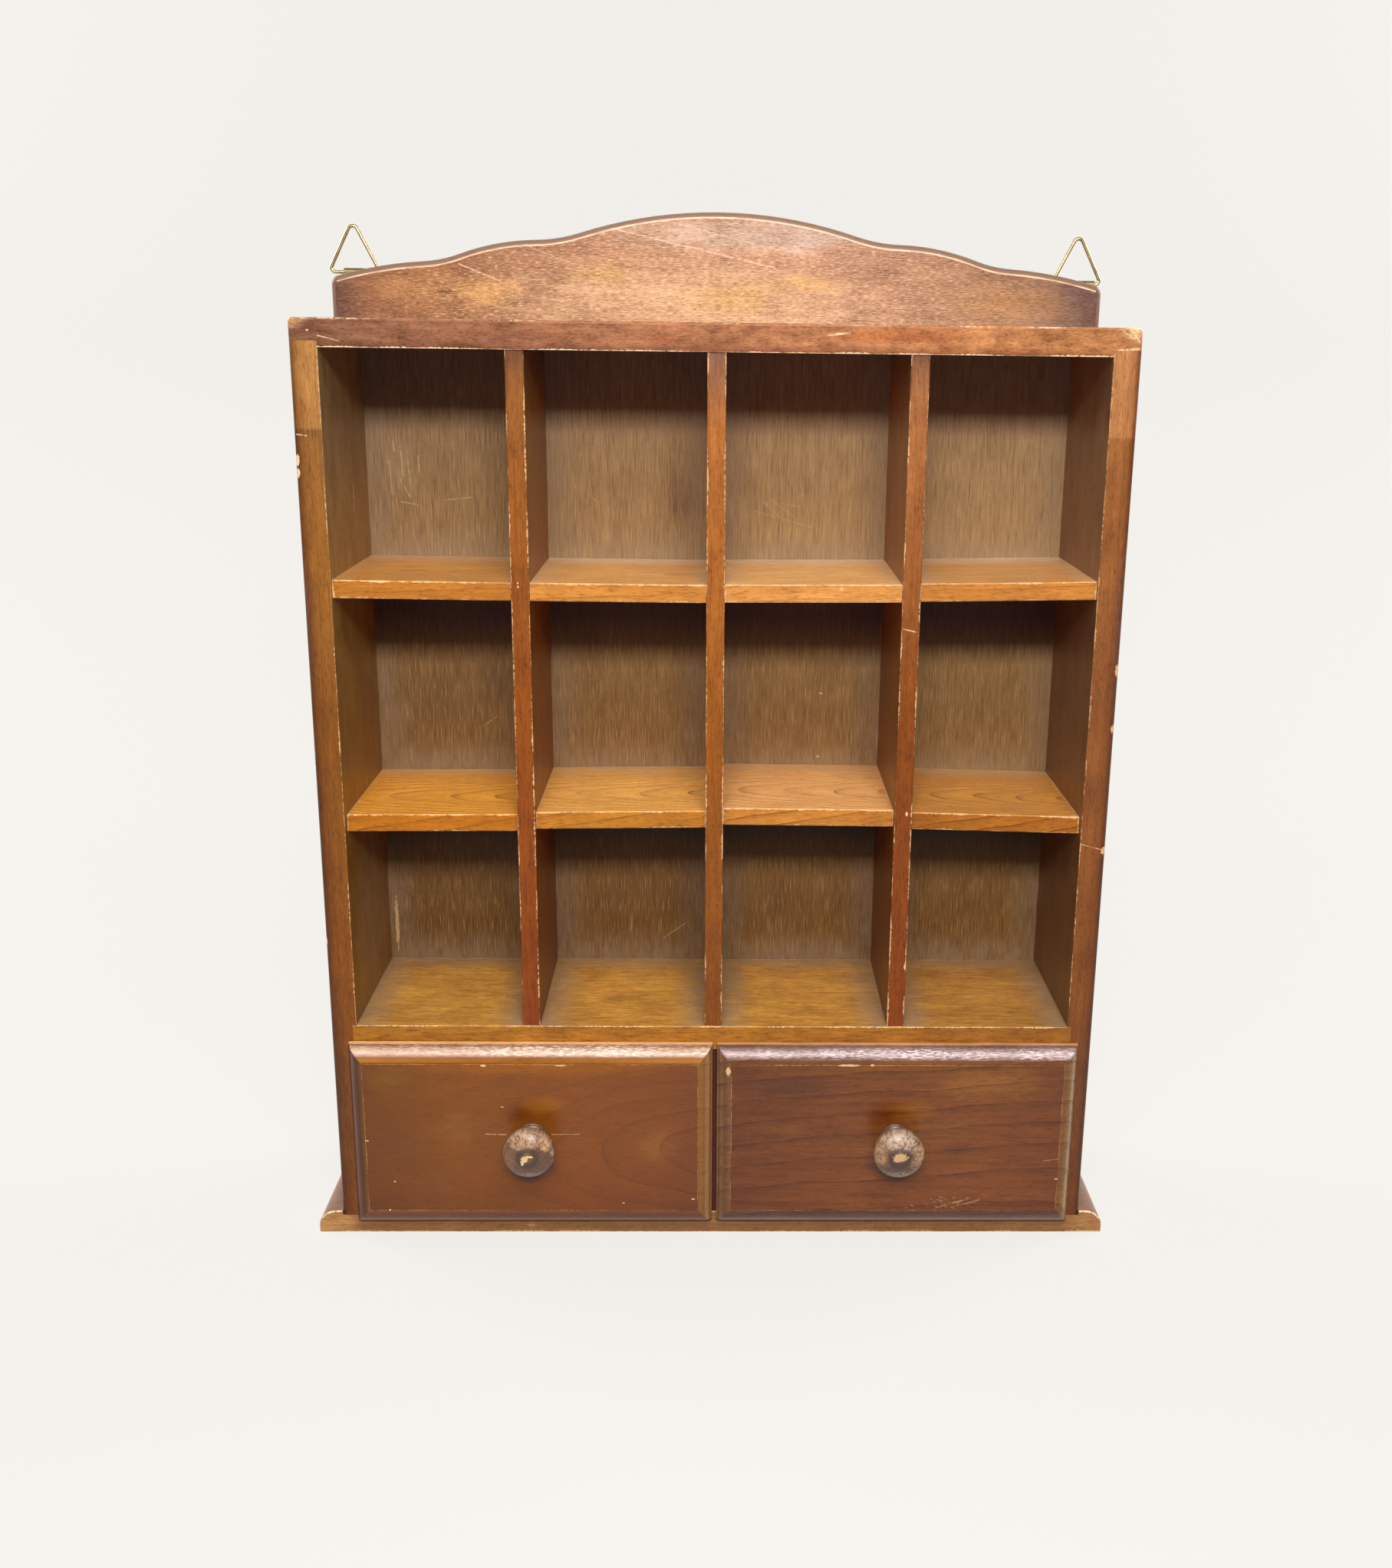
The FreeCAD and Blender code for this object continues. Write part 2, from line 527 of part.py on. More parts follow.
def drawer(side, x_in, x_out, front_in, front_out):
    """One drawer: lipped front, two sides, back, bottom, turned knob and its screw.
    x_in and x_out bound the opening, front_in and front_out the lipped front."""
    pre = "drawer_" + side
    s = -1 if side == "left" else 1
    lo, hi = (x_out, x_in) if s < 0 else (x_in, x_out)
    face_lo, face_hi = (front_out, front_in) if s < 0 else (front_in, front_out)
    box_lo, box_hi = "(%s+drawer_side_gap)" % lo, "(%s-drawer_side_gap)" % hi
    in_lo, in_hi = box_lo + "+drawer_side_thickness", box_hi + "-drawer_side_thickness"
    low, high = "base_thickness-front_lap_base", "deck_underside+front_lap_top"
    knob_x = "(%s+%s)/2" % (face_lo, face_hi)

    # Front: a plug in the opening, a plain lip, the roundover and the raised field.
    body = new_body(pre + "_front")
    steps = [("lip_back", "front_plug", None, None),
             ("lip_back-lip_thickness", "lip_thickness", "0", "0"),
             ("crown_plane", "moulding_edge+moulding_round", "moulding_quirk", "moulding_quirk"),
             ("face_plane", "field_rise", "field_inset_ends", "field_inset_edges")]
    for k, (start, length, ends, edges) in enumerate(steps):
        sketch = new_sketch(body, "%s_step_%d" % (pre, k), "XZ", start)
        if ends is None:
            corners = [(in_lo, "box_floor"), (in_hi, "box_floor"), (in_hi, "box_top"), (in_lo, "box_top")]
        else:
            corners = [("%s+%s" % (face_lo, ends), "%s+%s" % (low, edges)),
                       ("%s-%s" % (face_hi, ends), "%s+%s" % (low, edges)),
                       ("%s-%s" % (face_hi, ends), "%s-%s" % (high, edges)),
                       ("%s+%s" % (face_lo, ends), "%s-%s" % (high, edges))]
        outline(sketch, corners)
        pad(body, sketch, "XZ", length)
        if start == "crown_plane":
            crown = num("crown_plane")
            ease(body, "moulding_round", lambda p, d: near(p.y, crown))
    sketch = new_sketch(body, pre + "_screw_hole", "XZ", "face_plane-1")
    circles(sketch, [(knob_x, "knob_z")], "screw_diameter+2*screw_clearance")
    cut(body, sketch, "XZ", "lip_back+front_plug-face_plane+2")
    groove_low = "box_floor+drawer_groove_height"
    sketch = new_sketch(body, pre + "_front_groove", "XZ", "lip_back+front_plug-drawer_groove_depth")
    outline(sketch, [(in_lo, groove_low), (in_hi, groove_low),
                     (in_hi, groove_low + "+drawer_bottom_thickness+2*drawer_groove_clearance"),
                     (in_lo, groove_low + "+drawer_bottom_thickness+2*drawer_groove_clearance")])
    cut(body, sketch, "XZ", "drawer_groove_depth")

    # Sides: rabbeted over the plug, grooved for the bottom.
    for name, outer, inner, t in (("left", box_lo, in_lo, 1), ("right", box_hi, in_hi, -1)):
        body = board("%s_side_%s" % (pre, name), (outer, inner), ("lip_back", "box_back"),
                     ("box_floor", "box_top"))
        sketch = new_sketch(body, "%s_groove_%s" % (pre, name), "XZ", "lip_back")
        deep = "%s-(%d)*drawer_groove_depth" % (inner, t)
        over = "%s+(%d)*1" % (inner, t)
        outline(sketch, [(deep, groove_low), (over, groove_low),
                         (over, groove_low + "+drawer_bottom_thickness+2*drawer_groove_clearance"),
                         (deep, groove_low + "+drawer_bottom_thickness+2*drawer_groove_clearance")])
        cut(body, sketch, "XZ", "box_back-lip_back")

    # Back on top of the bottom, and the bottom in its grooves.
    floor = groove_low + "+drawer_groove_clearance"
    board(pre + "_back", (in_lo, in_hi), ("box_back-drawer_back_thickness", "box_back"),
          (floor + "+drawer_bottom_thickness", "box_top-drawer_back_drop"))
    board(pre + "_bottom",
          (in_lo + "-drawer_groove_depth+drawer_groove_clearance",
           in_hi + "+drawer_groove_depth-drawer_groove_clearance"),
          ("lip_back+front_plug-drawer_groove_depth+drawer_groove_clearance", "box_back"),
          (floor, floor + "+drawer_bottom_thickness"))

    # Knob: foot, waisted neck and domed head, bored for its screw.
    r_foot, r_neck, r_head = num("knob_foot_diameter/2"), num("knob_neck_diameter/2"), num("knob_diameter/2")
    bore, deep = num("screw_diameter/2+screw_clearance"), num("screw_bite+screw_clearance")
    tall, dome, shoulder = num("knob_height"), num("knob_dome"), num("knob_shoulder")
    rim, cove, waist = num("knob_rim"), num("knob_cove"), num("knob_neck_height")
    widest = tall - dome
    # The crown is centred on the axis and runs into the shoulder without a corner.
    crown = ((r_head - shoulder) ** 2 + dome ** 2 - shoulder ** 2) / (2 * (dome - shoulder))
    tilt = math.atan2(r_head - shoulder, crown - dome)
    meet = (r_head - shoulder + shoulder * math.sin(tilt), widest + shoulder * math.cos(tilt))
    # The cove starts upright at the neck and runs into the rim the same way.
    cove_x = r_neck + cove
    drop = math.sqrt((cove + rim) ** 2 - (cove_x - r_head + rim) ** 2)
    lean = math.atan2(drop, cove_x - r_head + rim)
    under = (cove_x - cove * math.cos(lean), widest - drop + cove * math.sin(lean))
    profile = [(bore, 0.0), (r_foot, 0.0), (r_foot, num("knob_foot_height")), (r_neck, waist),
               (r_neck, widest - drop), under, (r_head, widest), meet, (0.0, tall),
               (0.0, deep), (bore, deep)]
    bends = [
        (2, bulge(profile[2], profile[3], -0.7)),
        (4, (cove_x - cove * math.cos(lean / 2), widest - drop + cove * math.sin(lean / 2))),
        (5, (r_head - rim + rim * math.cos(lean / 2), widest - rim * math.sin(lean / 2))),
        (6, (r_head - shoulder + shoulder * math.sin((tilt + math.pi / 2) / 2),
             widest + shoulder * math.cos((tilt + math.pi / 2) / 2))),
        (7, (crown * math.sin(tilt / 2), tall - crown + crown * math.cos(tilt / 2)))]
    knob = turned(pre + "_knob", profile, bends)
    face_forward(knob, knob_x, "face_plane", "knob_z")

    # Screw from inside the drawer: rounded head, shank through the front into the knob.
    reach = num("lip_back+front_plug-face_plane+screw_bite")
    r, head = num("screw_diameter/2"), num("screw_head_diameter/2")
    shape = [(0.0, -num("screw_head_height")), (head, 0.0), (r, 0.0), (r, reach - r), (0.0, reach)]
    screw = turned(pre + "_knob_screw", shape, [(0, bulge(shape[0], shape[1], 0.5))])
    face_forward(screw, knob_x, "lip_back+front_plug", "knob_z")


drawer("left", "(partition_x-partition_thickness/2)", "(-inner_x)",
       "(partition_x-front_gap/2)", "(-inner_x-front_lap_left)")
drawer("right", "(partition_x+partition_thickness/2)", "inner_x",
       "(partition_x+front_gap/2)", "(inner_x+front_lap_right)")


def ring_path(x, y, z):
    """The closed centre line of a hanger ring: a triangle with three bends."""
    half, tall = num("ring_base/2"), num("ring_height")
    r_low, r_tip = num("ring_corner"), num("ring_tip")
    # The legs are the lines that touch both lower bends and the upper bend.
    low = V3(half - r_low, 0, r_low)
    tip = V3(0, 0, tall - r_tip)
    run = tip - low
    size = run.Length
    turn = math.atan2(run.z, run.x) - math.asin((r_tip - r_low) / size)
    normal = V3(math.sin(turn), 0, -math.cos(turn))
    low_end, tip_end = low + normal * r_low, tip + normal * r_tip
    flip = lambda p: V3(-p.x, p.y, p.z)
    mid_low = V3(0, 0, -1) + normal
    mid_low.normalize()
    bend = low + mid_low * r_low
    edges = [
        Part.LineSegment(V3(-low.x, 0, 0), V3(low.x, 0, 0)),
        Part.Arc(V3(low.x, 0, 0), bend, low_end),
        Part.LineSegment(low_end, tip_end),
        Part.Arc(tip_end, V3(0, 0, tall), flip(tip_end)),
        Part.LineSegment(flip(tip_end), flip(low_end)),
        Part.Arc(flip(low_end), flip(bend), V3(-low.x, 0, 0))]
    wire = Part.Wire([edge.toShape() for edge in edges])
    wire.translate(V3(x, y, z))
    return wire


# Hangers: a strap folded round the base of a wire ring, nailed to the back of the crest.
for side in HANGERS:
    at, level, shift = "hanger_%s_x" % side, "hanger_%s_z" % side, "ring_%s_shift" % side
    strap = new_body("hanger_plate_" + side)
    left, wide = at + "-strap_width/2", "strap_width"
    sketch = new_sketch(strap, "strap_tail_" + side, "YZ", left)
    outline(sketch, [
        ("back_plane", level + "-strap_tail"),
        ("back_plane+2*strap_thickness", level + "-strap_tail"),
        ("back_plane+2*strap_thickness", level),
        ("back_plane", level)])
    pad(strap, sketch, "YZ", wide)
    sketch = new_sketch(strap, "strap_loop_" + side, "YZ", left)
    circles(sketch, [("hinge_y", level)], "2*loop_radius")
    pad(strap, sketch, "YZ", wide)
    sketch = new_sketch(strap, "strap_eye_" + side, "YZ", left)
    circles(sketch, [("hinge_y", level)], "2*(loop_radius-strap_thickness)")
    cut(strap, sketch, "YZ", wide)
    sketch = new_sketch(strap, "strap_holes_" + side, "XZ", "back_plane-1")
    circles(sketch, [spot for spot in NAIL_SPOTS if spot[0] == at], "nail_diameter+2*nail_clearance")
    cut(strap, sketch, "XZ", "2*strap_thickness+2")

    path = ring_path(num(at + "+" + shift), num("hinge_y"), num(level))
    section = Part.Wire(Part.Circle(path.Edges[0].valueAt(0), V3(1, 0, 0), num("wire_diameter/2")).toShape())
    ring = DOC.addObject("Part::Feature", "hanger_ring_" + side)
    ring.Label = "hanger_ring_" + side
    pipe = Part.BRepOffsetAPI.MakePipeShell(path)
    pipe.add(section)
    pipe.setTransitionMode(0)
    pipe.build()
    pipe.makeSolid()
    ring.Shape = pipe.shape()
    PARTS.append(ring)

# Four hanger nails in one node, each a separate solid.
nails = []
for k, (x, z) in enumerate(NAIL_SPOTS):
    shank = DOC.addObject("Part::Cylinder", "nail_shank_%d" % k)
    shank.setExpression("Radius", tied("nail_diameter/2"))
    shank.setExpression("Height", tied("nail_bite+2*strap_thickness"))
    head = DOC.addObject("Part::Cylinder", "nail_head_%d" % k)
    head.setExpression("Radius", tied("nail_head_diameter/2"))
    head.setExpression("Height", tied("nail_head_height"))
    for piece, y in ((shank, "back_plane+2*strap_thickness"),
                     (head, "back_plane+2*strap_thickness+nail_head_height")):
        piece.Placement.Rotation = FreeCAD.Rotation(V3(1, 0, 0), 90)
        piece.setExpression("Placement.Base.x", tied(x))
        piece.setExpression("Placement.Base.y", tied(y))
        piece.setExpression("Placement.Base.z", tied(z))
    nail = DOC.addObject("Part::Fuse", "nail_%d" % k)
    nail.Base, nail.Tool = shank, head
    nails.append(nail)
group = DOC.addObject("Part::Compound", "hanger_nails")
group.Label = "hanger_nails"
group.Links = nails
PARTS.append(group)

DOC.recompute()
for item in DOC.Objects:
    state = [word for word in item.State if word in ("Invalid", "Error")]
    if state:
        raise RuntimeError("%s is %s" % (item.Label, state))
os.makedirs("parts", exist_ok=True)
for part in PARTS:
    if part.Shape.isNull() or not part.Shape.isValid():
        raise RuntimeError(part.Label + " has no valid shape")
    part.Shape.exportStep("parts/%s.step" % part.Label)
    print("%-26s solids %d  volume %.1f" % (part.Label, len(part.Shape.Solids), part.Shape.Volume))
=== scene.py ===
"""Looks of a trinket shelf with two drawers: stained hardwood boards under a worn
satin varnish, a dusty plywood back, turned knobs and brass wire hangers."""
import math
import bmesh
import bpy
from mathutils import Matrix, Vector


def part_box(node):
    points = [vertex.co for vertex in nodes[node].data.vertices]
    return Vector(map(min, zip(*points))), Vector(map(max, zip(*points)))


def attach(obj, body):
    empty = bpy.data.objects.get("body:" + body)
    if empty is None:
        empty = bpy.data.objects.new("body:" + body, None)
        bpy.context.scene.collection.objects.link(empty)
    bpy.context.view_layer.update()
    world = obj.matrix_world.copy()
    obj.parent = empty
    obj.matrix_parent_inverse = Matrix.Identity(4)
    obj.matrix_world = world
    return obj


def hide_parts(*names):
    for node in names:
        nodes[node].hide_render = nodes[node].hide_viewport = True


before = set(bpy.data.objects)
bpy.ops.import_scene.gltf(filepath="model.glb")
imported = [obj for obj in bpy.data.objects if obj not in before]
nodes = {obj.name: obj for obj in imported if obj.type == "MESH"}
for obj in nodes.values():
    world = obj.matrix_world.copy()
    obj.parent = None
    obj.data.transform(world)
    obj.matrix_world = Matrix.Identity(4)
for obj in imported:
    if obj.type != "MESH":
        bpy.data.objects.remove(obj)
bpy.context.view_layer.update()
MM = 0.001


def linear(text):
    """An sRGB hex colour as linear red, green, blue and a full alpha."""
    parts = [int(text[i:i + 2], 16) / 255 for i in (1, 3, 5)]
    return tuple(c / 12.92 if c <= 0.04045 else ((c + 0.055) / 1.055) ** 2.4 for c in parts) + (1.0,)


def add(tree, kind, inputs=(), **settings):
    """Adds a node. inputs gives its sockets, in order or by name, a value or what feeds them."""
    node = tree.nodes.new("ShaderNode" + kind)
    for name, value in settings.items():
        setattr(node, name, value)
    for key, value in (inputs if isinstance(inputs, dict) else dict(enumerate(inputs))).items():
        if isinstance(value, bpy.types.Node):
            value = next(socket for socket in value.outputs if socket.enabled)
        if isinstance(value, bpy.types.NodeSocket):
            tree.links.new(value, node.inputs[key])
        else:
            node.inputs[key].default_value = linear(value) if isinstance(value, str) else value
    return node


def blank(name):
    """A material with an empty node tree."""
    material = bpy.data.materials.new(name)
    material.use_nodes = True
    material.node_tree.nodes.clear()
    return material


def grains(tree, at, size, stretch=(1, 1, 1), shift=(0, 0, 0), detail=3.0):
    """Noise whose grains are size mm across, and longer along an axis whose stretch is more."""
    scale = [1 / (size * MM * s) for s in stretch]
    place = add(tree, "Mapping", {"Vector": at, "Location": shift, "Scale": scale})
    return add(tree, "TexNoise", {"Vector": place, "Scale": 1.0, "Detail": detail, "Roughness": 0.55})


def reach(tree, at, centre, half):
    """0 at a centre and 1 on the ellipsoid with these half sizes, both in mm."""
    scale = [1 / (h * MM) for h in half]
    shift = [-c * MM * s for c, s in zip(centre, scale)]
    place = add(tree, "Mapping", {"Vector": at, "Location": shift, "Scale": scale})
    return add(tree, "VectorMath", [place], operation="LENGTH")


def nearest(tree, values, how="MINIMUM"):
    """The smallest of several values, or the largest."""
    best = values[0]
    for value in values[1:]:
        best = add(tree, "Math", [best, value], operation=how)
    return best


def chips(tree, at, spots, ragged):
    """1 inside the listed spots, each a centre and half sizes in mm, with ragged edges."""
    found = []
    for centre, half in spots:
        rough = add(tree, "Math", [ragged, 1.6, reach(tree, at, centre, half)], operation="MULTIPLY_ADD")
        found.append(add(tree, "MapRange", [rough, 1.85, 1.65, 0.0, 1.0]))
    return nearest(tree, found, "MAXIMUM")


def scratches(tree, at, lines, ragged):
    """Strength of fine scratches, each two ends in mm, a half width in mm and a depth up to 1."""
    found = []
    for a, b, half, depth in lines:
        a, b = Vector(a) * MM, Vector(b) * MM
        span = b - a
        start = add(tree, "VectorMath", [at, a], operation="SUBTRACT")
        share = add(tree, "VectorMath", [start, span / span.length_squared], operation="DOT_PRODUCT")
        foot = add(tree, "VectorMath", {0: span, "Scale": add(tree, "Clamp", [share])}, operation="SCALE")
        gap = add(tree, "VectorMath", [start, foot], operation="DISTANCE")
        line = add(tree, "MapRange", [gap, half * MM, 0.3 * half * MM, 0.0, 1.0])
        broken = add(tree, "MapRange", [ragged, 0.38, 0.56, 0.15, depth])
        found.append(add(tree, "Math", [line, broken], operation="MULTIPLY"))
    return nearest(tree, found, "MAXIMUM")


def edge_gap(tree, split, low, high, tilt=0.0):
    """Metres from a point on a board to its nearest edge. tilt is the board's rise over run along X."""
    run = add(tree, "Math", [split[0], (low[0] + high[0]) / 2], operation="SUBTRACT")
    level = add(tree, "Math", [run, -tilt, split[2]], operation="MULTIPLY_ADD")
    gaps = []
    for value, a, b in zip((split[0], split[1], level), low, high):
        sides = [add(tree, "Math", [value, face], operation="SUBTRACT") for face in (a, b)]
        gaps.append(nearest(tree, [add(tree, "Math", [side], operation="ABSOLUTE") for side in sides]))
    larger = nearest(tree, gaps[:2], "MAXIMUM")
    return nearest(tree, [nearest(tree, gaps[:2]), nearest(tree, [larger, gaps[2]])], "MAXIMUM")


def wall_gap(tree, split, walls):
    """Metres to the nearest of the walls, given as lists of mm along X, Y and Z."""
    gaps = []
    for value, places in zip(split, walls):
        for wall in places:
            gap = add(tree, "Math", [value, wall * MM], operation="SUBTRACT")
            gaps.append(add(tree, "Math", [gap], operation="ABSOLUTE"))
    return nearest(tree, gaps)


def graded(tree, value, low, high, stops):
    """A colour that changes along a coordinate. Each stop is a share of the way and a colour."""
    share = add(tree, "MapRange", [value, low, high, 0.0, 1.0])
    ramp = add(tree, "ValToRGB", [share])
    marks = ramp.color_ramp.elements
    for stop in stops[1:-1]:
        marks.new(stop[0])
    for mark, (position, colour) in zip(marks, stops):
        mark.position = position
        mark.color = linear(colour)
    return ramp


def moulding(tree, split, shown, field, widths, runs):
    """Colours laid across each side of the moulding round a field, mitred at its corners: partly
    the stain and partly painted light and shade. The runs go from the field outwards on the left, on the right, below
    and above, in that order."""
    (left, right, below, above), (end, edge) = field, widths
    shares = []
    for value, start, width in ((split[0], left, -end), (split[0], right, end),
                                (split[2], below, -edge), (split[2], above, edge)):
        gap = add(tree, "Math", [value, start * MM], operation="SUBTRACT")
        shares.append(add(tree, "Math", [gap, width * MM], operation="DIVIDE"))
    outer = nearest(tree, shares, "MAXIMUM")
    for share, stops in zip(shares, runs):
        here = add(tree, "MapRange", [add(tree, "Math", [share, outer], operation="SUBTRACT"), -0.06, -0.01, 0.0, 1.0])
        mask = add(tree, "Math", [here, add(tree, "MapRange", [share, 0.0, 0.06, 0.0, 1.0])], operation="MULTIPLY")
        shown = add(tree, "Mix", {0: mask, 6: shown, 7: graded(tree, share, 0.0, 1.0, stops)}, data_type="RGBA")
    return shown, share, mask


def stained_hardwood(name, node, run, along="Z", across=(), capped=None, seed=0.0, mottle=1.0, ring=3.0,
                     pith=(0.02, 0.0), lean=2.0, slope=0.0, rings=0.3, fibre=0.35, glints=0.0, gloss=0.38,
                     coat=0.1, ridges=0.12, grain=(0.5, 7.0, 0.4), streak=(2.2, 8.0, 0.6), box=None, grow=(0, 0, 0), tilt=0.0, wear=0.5, bare="#dcae7c",
                     nick=None, spots=(), lines=(), scuffs=(), shade=(), ragged=0.7, up=None, flank=None, rim=None, mould=None, dust=0.0,
                     dust_tint="#a08f7c", dust_reach=16,
                     walls=(), painted_shade_under_shelves=()):
    """Stained hardwood, planed and varnished. Growth rings and fine fibres run along the board,
    the stain lies unevenly, and it is rubbed through to bare wood on the arrises. Some pieces
    also carry painted light and shade: lighter top and side faces, painted highlights and sheen,
    and painted shade and shadow."""
    material = blank(name)
    tree = material.node_tree
    place = add(tree, "TexCoord").outputs
    at = place["Object"]
    split = add(tree, "SeparateXYZ", [at]).outputs
    facing = add(tree, "SeparateXYZ", [place["Normal"]]).outputs
    low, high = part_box(node)
    axis = "XYZ".index(along)

    # The colour along the board, then across its front: the stain, and in some boards painted light too. The side
    # boards' darker lower ends and outer edges are partly painted shade, and the crest's lighter middle and pink top
    # are partly painted sheen.
    if isinstance(run, str):
        run = ((0, run), (1, run))
    shown = graded(tree, split[axis], low[axis], high[axis], run)
    front = add(tree, "MapRange", [facing[1], -0.3, -0.7, 0.0, 1.0])
    if capped:
        level = add(tree, "MapRange", [split[2], capped[0] * MM, (capped[0] + 1.2) * MM, 0.0, 1.0])
        level = add(tree, "Math", [level, front], operation="MULTIPLY")
        shown = add(tree, "Mix", {0: level, 6: shown, 7: capped[1]}, data_type="RGBA", blend_type="MULTIPLY")
    if across:
        other = 2 if along == "X" else 0
        tint = graded(tree, split[other], low[other], high[other], across)
        shown = add(tree, "Mix", {0: front, 6: shown, 7: tint}, data_type="RGBA", blend_type="MULTIPLY")

    if mould:
        shown, over, on_top = moulding(tree, split, shown, *mould[:3])
        glitter_highlight = grains(tree, at, 0.5, (4.5, 1.0, 0.8), (seed, seed, 0), 4.0)

    drawn = [1.0, 1.0, 1.0]
    drawn[axis] = 2.4
    grit = grains(tree, at, 3.2, drawn, (seed, seed, seed), 5.0)
    # Places darker, lighter or redder than the rest: mostly the stain, and in some pieces painted light, such as a
    # painted shadow below a knob, a painted sheen on the crest and a lighter inner face of a side board.
    for colour, strength, middle, half in shade:
        soft = add(tree, "Math", [grit, ragged, reach(tree, at, middle, half)], operation="MULTIPLY_ADD")
        amount = add(tree, "MapRange", [soft, 1.0 + ragged / 2, 0.1 + ragged / 2, 0.0, strength],
                     interpolation_type="SMOOTHSTEP")
        shown = add(tree, "Mix", {0: amount, 6: shown, 7: colour}, data_type="RGBA")

    # Fibres and pores are long along the grain. Streaks and blotches are the uneven stain.
    stretch = [1.0, 1.0, 1.0]
    stretch[axis] = grain[1]
    fibres = grains(tree, at, grain[0], stretch, (seed, 2 * seed, 3 * seed), 4.0)
    stretch[axis] = streak[1]
    streaks = grains(tree, at, streak[0], stretch, (3 * seed, seed, 2 * seed))
    stretch[axis] = 1.8
    blotches = grains(tree, at, 9, stretch, (1.7 * seed, seed, seed), 5.0)
    stretch[axis] = 1.5
    fine = grains(tree, at, 0.9, stretch, (seed, 0, seed))
    uneven = 0.5 - (1.5 + streak[2] + grain[2]) / 2 * mottle
    for pattern, share in ((streaks, streak[2]), (blotches, 1.1), (fine, 0.4), (fibres, grain[2])):
        uneven = add(tree, "Math", [pattern, share * mottle, uneven], operation="MULTIPLY_ADD")
    gain = add(tree, "Mix", {0: uneven, 6: (0.55, 0.46, 0.38, 1), 7: (1.45, 1.54, 1.62, 1)}, data_type="RGBA")
    shown = add(tree, "VectorMath", [shown, gain], operation="MULTIPLY")

    # Growth rings: cones round a pith that lies off the board and leans a little. Their late
    # wood is a thin dark line that fades on one side.
    deep, beside, leaning, sloping = {"X": (1, 2, 2, 1), "Y": (2, 0, 0, 2), "Z": (1, 0, 0, 1)}[along]
    turn, away = [0.0] * 3, [0.0] * 3
    turn[leaning], turn[sloping] = math.radians(lean), math.radians(slope)
    away[deep], away[beside] = pith
    local = add(tree, "Mapping", {"Vector": at, "Location": [-(a + b) / 2 for a, b in zip(low, high)]})
    wander = add(tree, "TexNoise", {"Vector": local, "Scale": 14.0 + seed % 3, "Detail": 2.0}).outputs["Color"]
    bent = add(tree, "VectorMath", [wander, (0.006, 0.006, 0.006), local], operation="MULTIPLY_ADD")
    ringed = add(tree, "Mapping", {"Vector": bent, "Location": away, "Rotation": turn})
    wave = add(tree, "TexWave", {"Vector": ringed, "Scale": math.pi / 10 / (ring * MM), "Distortion": 0.8,
                                 "Detail": 2.0, "Detail Scale": 0.6, "Phase Offset": seed},
               wave_type="RINGS", rings_direction=along, wave_profile="SAW").outputs["Fac"]
    late = add(tree, "Math", [wave, 0.3, add(tree, "Math", [wave, 9.0], operation="POWER")],
               operation="MULTIPLY_ADD")
    if not isinstance(rings, tuple):
        rings = (rings, rings)
    amount = add(tree, "MapRange", [split[axis], low[axis], high[axis], *rings])
    amount = add(tree, "Math", [amount, add(tree, "MapRange", [blotches, 0.40, 0.58, 0.35, 1.15])],
                 operation="MULTIPLY")
    amount = add(tree, "Math", [late, amount], operation="MULTIPLY")
    shown = add(tree, "Mix", {0: amount, 6: shown, 7: "#7a4c32"}, data_type="RGBA", blend_type="MULTIPLY")
    pores = add(tree, "MapRange", [fibres, 0.46, 0.33, 0.0, fibre])
    shown = add(tree, "Mix", {0: pores, 6: shown, 7: "#6f452c"}, data_type="RGBA", blend_type="MULTIPLY")
    # Pale fibres; on the crest these are painted glints, strongest in the middle and fading towards the ends.
    if glints:
        bright = add(tree, "MapRange", [fibres, 0.54, 0.68, 0.0, glints])
        if rim:
            fading = add(tree, "MapRange", [reach(tree, at, (-10, 29.8, 372), (140, 60, 60)), 0.6, 1.0, 1.0, 0.15])
            bright = add(tree, "Math", [bright, fading], operation="MULTIPLY")
        shown = add(tree, "Mix", {0: bright, 6: shown, 7: bare}, data_type="RGBA")


    # Painted light: faces that look up or sideways are tinted apart from the front for how the light falls on them. The
    # tops of the shelves, the deck and the top board are made lighter, and the inner faces of the sides and the faces
    # of the dividers are made lighter; the base board's top is made darker and greyer.
    if up:
        level = add(tree, "MapRange", [facing[2], 0.45, 0.85, 0.0, 1.0])
        shown = add(tree, "Mix", {0: level, 6: shown, 7: up}, data_type="RGBA", blend_type="MULTIPLY")
    if flank:
        towards, tint = flank
        across_x = add(tree, "Math", [facing[0], towards], operation="MULTIPLY" if towards else "ABSOLUTE")
        level = add(tree, "MapRange", [across_x, 0.45, 0.85, 0.0, 1.0])
        shown = add(tree, "Mix", {0: level, 6: shown, 7: tint}, data_type="RGBA", blend_type="MULTIPLY")
    ahead = add(tree, "Math", [facing[1], -1.0], operation="MULTIPLY")
    patchy = add(tree, "MapRange", [grit, 0.35, 0.60, 0.45, 1.0])
    if mould:
        # Painted highlight: pale glitter on the upper roundover, where the ridged varnish catches the light.
        level = add(tree, "Math", [add(tree, "MapRange", [over, *mould[4][:2], 0.0, 1.0]),
                                   add(tree, "MapRange", [over, *mould[4][2:], 0.0, 1.0])], operation="MULTIPLY")
        level = add(tree, "Math", [level, on_top], operation="MULTIPLY")
        level = add(tree, "Math", [level, add(tree, "MapRange", [glitter_highlight, 0.44, 0.60, 0.0, 1.0])],
                    operation="MULTIPLY")
        lively = add(tree, "Math", [add(tree, "MapRange", [blotches, 0.40, 0.60, 0.45, 1.0]),
                                    add(tree, "MapRange", [split[0], low[0], low[0] + 0.07, 0.45, 1.15])],
                     operation="MULTIPLY")
        level = add(tree, "Math", [level, lively], operation="MULTIPLY")
        shown = add(tree, "Mix", {0: level, 6: shown, 7: mould[3]}, data_type="RGBA")
    if rim:
